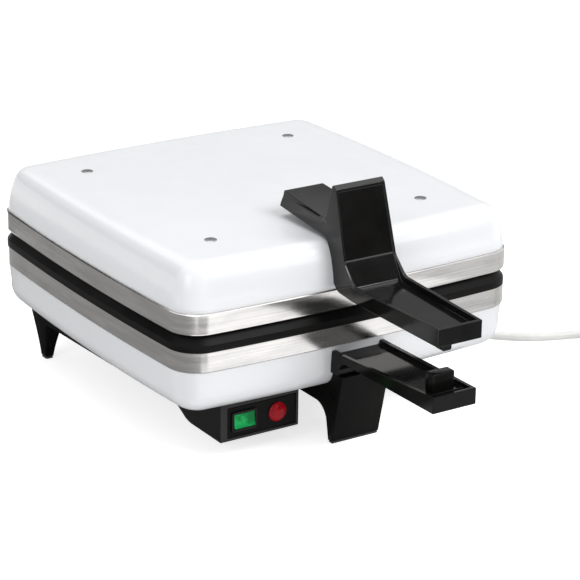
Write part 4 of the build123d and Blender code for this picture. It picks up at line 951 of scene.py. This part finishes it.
def plug_matrix():
    """The plug's place and turn, and the cord's last points before it."""
    way = coil_way(COIL_TURNS)
    start = coil_point(COIL_TURNS) + way * 6.6
    flat = Vector((way.x, way.y, 0)).normalized()
    last = Matrix.Rotation(radians(-8), 3, "Z") @ flat
    first = start + way * 12
    middle_way = (way + last).normalized()
    second = first + middle_way * 26 + Vector((0, 0, 18.6 - first.z))
    end = second + last * 12
    turn = last.to_track_quat("Z", "Y").to_matrix().to_4x4()
    return Matrix.Translation(end) @ turn, [first, second, end]


def make_cord():
    exit_point = Vector(CORD_EXIT)
    turns = int(COIL_TURNS * POINTS_EACH_TURN)
    points = [exit_point] + [Vector(point) for point in ROUTE]
    points += [coil_point(COIL_TURNS * i / turns) for i in range(turns + 1)]
    matrix, tail = plug_matrix()
    points += tail
    curve = bpy.data.curves.new("mains_cord_line", "CURVE")
    curve.dimensions = "3D"
    curve.bevel_depth = sizes().cord_radius
    curve.bevel_resolution = 5
    curve.resolution_u = 8
    curve.use_fill_caps = True
    spline = curve.splines.new("NURBS")
    spline.points.add(len(points) - 1)
    for point, where in zip(spline.points, points):
        point.co = (*place(*where), 1.0)
    spline.order_u = 3
    spline.use_endpoint_u = True
    curve.materials.append(finish_for("cord"))
    cord = add_object("mains_cord_line", curve)
    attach(cord, "base")
    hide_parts("mains_cord", "cord_coil", "cord_tail")
    plug = make_plug(matrix)
    gland = make_gland(exit_point)


def make_plug(matrix):
    bm = bmesh.new()
    turned(bm, [
        (0, -0.5), (3.4, -0.5), (4.4, 0.0), (4.9, 3.0), (4.6, 4.0), (5.2, 5.0), (5.6, 8.0),
        (5.2, 9.0), (6.0, 10.0), (6.6, 13.0), (6.2, 14.0), (7.4, 15.5), (9.0, 22.0),
        (11.5, 26.0), (14.5, 29.5), (17.0, 33.0), (18.2, 36.5), (18.4, 40.0), (18.4, 54.6),
        (17.4, 55.8), (15.0, 56.0), (0, 56.0),
    ], matrix, steps=48)
    seat(bm)
    piece = finish_piece(bm, "plug_body", "base", "cord", ["plug"], angle=34)
    bm = bmesh.new()
    for side in (-1, 1):
        turned(bm, [
            (0, 55.0), (2.35, 55.0), (2.35, 72.6), (1.9, 74.2), (1.0, 74.9), (0, 75.0),
        ], matrix @ Matrix.Translation((side * 9.5, 0, 0)), steps=20)
    seat(bm)
    pins = finish_piece(bm, "plug_pins", "base", "brass", angle=40)
    pins.parent = piece
    return piece


def make_gland(tip):
    """The tapered strain relief with its ribs and flange."""
    length = 30.0
    profile = [(0, -13.0), (7.6, -13.0), (7.6, -10.2), (6.2, -10.0), (6.2, -3.0), (9.0, -3.0),
               (9.0, -0.6), (8.4, 0.0), (6.6, 0.2)]
    rings = 5
    for number in range(rings):
        start = 1.5 + number * 5.6
        radius = 6.3 - 1.7 * (start / length)
        profile += [(radius, start), (radius - 0.1, start + 3.4), (radius - 0.9, start + 3.8),
                    (radius - 0.9, start + 5.2)]
    profile += [(4.5, length - 0.8), (4.1, length), (0, length)]
    bm = bmesh.new()
    start = Vector((tip.x, tip.y - length, tip.z))
    turned(bm, profile, Matrix.Translation(start) @ Matrix.Rotation(-pi / 2, 4, "X"), steps=32)
    seat(bm)
    return finish_piece(
        bm, "cord_strain_relief", "base", "cord", ["cord_gland"], angle=34)


# Finishes of the pieces that keep their CAD shape

KEPT = {
    "steel": [
        "upper_spacers", "upper_heating_element", "upper_clamp_plate", "upper_clamp_screws",
        "upper_heat_shield", "upper_handle_screws", "lid_hinge_screws",
        "lower_heating_element", "lower_clamp_plate", "lower_clamp_screws",
        "lower_heat_shield", "lower_spacers", "lower_handle_screws", "foot_screws",
        "hinge_pins", "base_hinge_screws",
    ],
    "ceramic": ["upper_limiter", "lower_thermostat", "terminal_block"],
    "dark_screw": ["base_screws"],
    "moulding": ["hinge_arm_left", "hinge_arm_right", "hinge_bracket_left", "hinge_bracket_right"],
    "matte": ["rocker_switch_body", "pilot_lamp"],
    "rubber": ["foot_pads", "lid_lead_upper", "lid_lead_lower"],
    "wire": ["lid_wiring", "base_wiring"],
}


def dress_kept_nodes():
    for key, names in KEPT.items():
        finish = finish_for(key)
        for name in names:
            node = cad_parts[name]
            if not node.material_slots:
                node.data.materials.append(finish)
            for slot in node.material_slots:
                slot.material = finish


# Stage, light and camera

IMAGE_WIDTH = 580.0
FOCAL_LENGTH = 2511.4
CAMERA_ANGLES = (-0.5776, 0.3597, 0.0141)
CAMERA_SHIFT = (-0.1584, 0.436, -10.3874)

# name, middle, aimed at, width, power
LAMPS = (
    ("front_softbox", (1.05, -1.9, 2.2), (0, 0, 0.08), 1.5, 48.5),
    ("top_softbox", (0.1, 0.4, 2.7), (0, 0, 0.1), 1.6, 25.4),
    ("left_softbox", (-2.5, -0.9, 1.3), (0, 0, 0.1), 1.4, 14),
)

# name, middle, width and height, turns about X and Z, brightness in a mirror
CARDS = (
    ("left_flag", (-0.55, 0.35, 0.004), (0.75, 1.4), (0, 0), 0.35),
    ("corner_flag", (-0.17, -0.36, 0.004), (0.2, 0.16), (0, 0), 0.5),
    ("right_flag", (0.52, -0.33, 0.004), (0.76, 1.25), (0, 0), 0.78),
    ("band_flag", (0.05, -0.29, 0.0045), (0.3, 0.2), (0, 0), 1.4),
    ("lever_flag", (0.18, -0.5, 0.005), (0.18, 0.12), (0, 0), 0.25),
    # Dark card under the body, seen only in mirrors: painted shadow of the floor beneath the
    # grill.
    ("painted_floor_shadow_card", (-0.01, 0.13, 0.003), (0.42, 0.44), (0, 0), 0.15),
    ("front_flag", (1.6, -2.6, 0.62), (2.6, 1.1), (90, 31), 0.03),
    ("rear_flag", (1.5, 2.3, 0.95), (3.6, 1.3), (90, -33), 0.35),
    ("rear_upper_flag", (1.5, 2.3, 1.95), (3.6, 0.7), (90, -33), 0.85),
    ("guard_card", (0.8, -0.22, 1.54), (0.45, 0.4), (31, 81), 2.4),
    ("left_rear_flag", (-0.9, 1.6, 0.95), (1.6, 1.2), (90, 29), 0.05),
    ("upper_flag", (0.77, -1.07, 1.01), (0.5, 0.38), (54.8, 38.6), 0.03),
    ("crease_card", (1.04, -1.59, 0.71), (0.55, 0.36), (72, 35), 3.0),
)


def make_camera(scene):
    """The camera, from angles and a shift measured in screw spacings."""
    data = bpy.data.cameras.new("view_camera")
    data.sensor_width = 36.0
    data.lens = 36.0 * FOCAL_LENGTH / IMAGE_WIDTH
    data.clip_end = 30.0
    camera = add_object("view_camera", data)
    az, el, roll = CAMERA_ANGLES
    back = Vector((sin(az) * cos(el), -cos(az) * cos(el), sin(el)))
    right = Vector((cos(az), sin(az), 0))
    up = back.cross(right)
    right_turned = right * cos(roll) + up * sin(roll)
    up_turned = up * cos(roll) - right * sin(roll)
    turn = Matrix((right_turned, up_turned, back)).transposed()
    spot = -(turn @ (Vector(CAMERA_SHIFT) * SCREW_SPACING))
    eye = place(spot.x, spot.y, spot.z + COVER_TOP)
    camera.matrix_world = Matrix.Translation(eye) @ turn.to_4x4()
    scene.camera = camera


def make_stage():
    scene = bpy.context.scene
    make_camera(scene)
    make_world(scene)
    stage_sheet("studio_floor", (12.0, 12.0), Matrix(), floor_finish())
    for row in LAMPS:
        lamp(*row)
    for row in CARDS:
        card(*row)
    scene.view_settings.view_transform = "Standard"


def stage_sheet(name, size, matrix, finish):
    """A flat sheet of the stage, moved from the origin by a matrix."""
    bm = bmesh.new()
    bmesh.ops.create_grid(bm, x_segments=1, y_segments=1, size=0.5)
    bmesh.ops.scale(bm, verts=bm.verts, vec=(*size, 1))
    bmesh.ops.transform(bm, verts=bm.verts, matrix=matrix)
    sheet = mesh_object(bm, name, finish)
    return sheet


def seen_directly(tree):
    """1 for camera, glossy and transmission rays, otherwise 0."""
    path = tree.nodes.new("ShaderNodeLightPath")
    value = path.outputs["Is Camera Ray"]
    for kind in ("Is Glossy Ray", "Is Transmission Ray"):
        either = tree.nodes.new("ShaderNodeMath")
        either.operation = "MAXIMUM"
        tree.links.new(value, either.inputs[0])
        tree.links.new(path.outputs[kind], either.inputs[1])
        value = either.outputs[0]
    return value


def make_world(scene):
    """An even grey sky that shows as white where it is seen or mirrored."""
    world = bpy.data.worlds.new("studio")
    scene.world = world
    world.use_nodes = True
    tree = world.node_tree
    background = tree.nodes["Background"]
    background.inputs["Color"].default_value = (1.0, 1.0, 1.0, 1)
    strength = spread(tree, seen_directly(tree), 0.5, 1.0, 0.0, 1.0)
    tree.links.new(strength, background.inputs["Strength"])


def card(name, spot, size, turns, brightness):
    """A card that only shows in glossy surfaces."""
    finish, _, shader = start_finish(name, 1.0, shine=0.0)
    shader.inputs["Base Color"].default_value = (0, 0, 0, 1)
    shader.inputs["Emission Color"].default_value = (1, 1, 1, 1)
    shader.inputs["Emission Strength"].default_value = brightness
    tilt, swing = (radians(turn) for turn in turns)
    turned_by = Matrix.Rotation(swing, 4, "Z") @ Matrix.Rotation(tilt, 4, "X")
    sheet = stage_sheet(name, size, Matrix.Translation(spot) @ turned_by, finish)
    sheet.visible_camera = False
    sheet.visible_diffuse = False
    sheet.visible_shadow = False
    sheet.visible_transmission = False


def floor_finish():
    """Pale floor that shows as white background yet keeps the shadow."""
    finish, tree, shader = start_finish("studio_floor", 0.9, shine=0.1)
    shader.inputs["Base Color"].default_value = (0.8, 0.8, 0.8, 1)
    shader.inputs["Emission Color"].default_value = (1, 1, 1, 1)
    strength = spread(tree, seen_directly(tree), 0.0, 0.72, 0.0, 1.0)
    tree.links.new(strength, shader.inputs["Emission Strength"])
    return finish


def lamp(name, spot, aim, size, power):
    """A square area lamp aimed at a point."""
    data = bpy.data.lights.new(name, "AREA")
    data.shape = "SQUARE"
    data.size = size
    data.energy = power
    light = add_object(name, data)
    light.location = spot
    way = Vector(aim) - Vector(spot)
    light.rotation_euler = way.to_track_quat("-Z", "Y").to_euler()


# Operators

class GRILL_OT_stage(bpy.types.Operator):
    """Set up the floor, the light and the camera"""

    bl_idname = "grill.stage"
    bl_label = "Stage"

    def execute(self, context):
        make_stage()
        return {"FINISHED"}


class GRILL_OT_cord(bpy.types.Operator):
    """Lay the mains cord with its strain relief, coil and plug"""

    bl_idname = "grill.cord"
    bl_label = "Mains cord"

    def execute(self, context):
        make_cord()
        return {"FINISHED"}


class GRILL_OT_shells(bpy.types.Operator):
    """Build the white cover and the white housing"""

    bl_idname = "grill.shells"
    bl_label = "Cover and housing"

    def execute(self, context):
        make_cover()
        make_housing()
        return {"FINISHED"}


class GRILL_OT_plates(bpy.types.Operator):
    """Build the two cooking plates with their ribs"""

    bl_idname = "grill.plates"
    bl_label = "Cooking plates"

    def execute(self, context):
        make_plates()
        return {"FINISHED"}


class GRILL_OT_upper_handle(bpy.types.Operator):
    """Build the upper handle with its guard and tray"""

    bl_idname = "grill.upper_handle"
    bl_label = "Upper handle"

    def execute(self, context):
        make_upper_handle()
        return {"FINISHED"}


class GRILL_OT_lower_handle(bpy.types.Operator):
    """Build the lower handle with its catch"""

    bl_idname = "grill.lower_handle"
    bl_label = "Lower handle"

    def execute(self, context):
        make_lower_handle()
        return {"FINISHED"}


class GRILL_OT_feet(bpy.types.Operator):
    """Build the feet and the base plate"""

    bl_idname = "grill.feet"
    bl_label = "Feet and base plate"

    def execute(self, context):
        make_front_foot()
        make_rear_foot("left", -1)
        make_rear_foot("right", 1)
        make_base_plate()
        return {"FINISHED"}


class GRILL_OT_controls(bpy.types.Operator):
    """Build the control box with its rocker switch and lamp"""

    bl_idname = "grill.controls"
    bl_label = "Control box"

    def execute(self, context):
        make_control_box()
        make_switch()
        make_lamp()
        return {"FINISHED"}


class GRILL_OT_screws(bpy.types.Operator):
    """Build the screw heads on the cover"""

    bl_idname = "grill.screws"
    bl_label = "Cover screws"

    def execute(self, context):
        make_cover_screws()
        return {"FINISHED"}


class GRILL_OT_kept(bpy.types.Operator):
    """Give the kept pieces their finishes"""

    bl_idname = "grill.kept"
    bl_label = "Kept pieces"

    def execute(self, context):
        dress_kept_nodes()
        return {"FINISHED"}


OPERATORS = (
    GRILL_OT_stage, GRILL_OT_cord, GRILL_OT_shells, GRILL_OT_plates, GRILL_OT_upper_handle,
    GRILL_OT_lower_handle, GRILL_OT_feet, GRILL_OT_controls, GRILL_OT_screws, GRILL_OT_kept,
)


class GRILL_PT_panel(bpy.types.Panel):
    """Sizes, colours and builders of the grill"""

    bl_idname = "GRILL_PT_panel"
    bl_label = "Contact Grill"
    bl_space_type = "VIEW_3D"
    bl_region_type = "UI"
    bl_category = "Grill"

    def draw(self, context):
        for group in (context.scene.grill_sizes, context.scene.grill_colours):
            for name in group.__annotations__:
                self.layout.prop(group, name)
        for operator in OPERATORS:
            self.layout.operator(operator.bl_idname)


CLASSES = (GrillSizes, GrillColours) + OPERATORS + (GRILL_PT_panel,)


def register():
    for item in CLASSES:
        bpy.utils.register_class(item)
    bpy.types.Scene.grill_sizes = bpy.props.PointerProperty(type=GrillSizes)
    bpy.types.Scene.grill_colours = bpy.props.PointerProperty(type=GrillColours)


def unregister():
    del bpy.types.Scene.grill_colours
    del bpy.types.Scene.grill_sizes
    for item in reversed(CLASSES):
        bpy.utils.unregister_class(item)


def main():
    register()
    bpy.ops.grill.stage()
    bpy.ops.grill.cord()
    bpy.ops.grill.shells()
    bpy.ops.grill.plates()
    bpy.ops.grill.upper_handle()
    bpy.ops.grill.lower_handle()
    bpy.ops.grill.feet()
    bpy.ops.grill.controls()
    bpy.ops.grill.screws()
    bpy.ops.grill.kept()


if __name__ == "__main__":
    main()
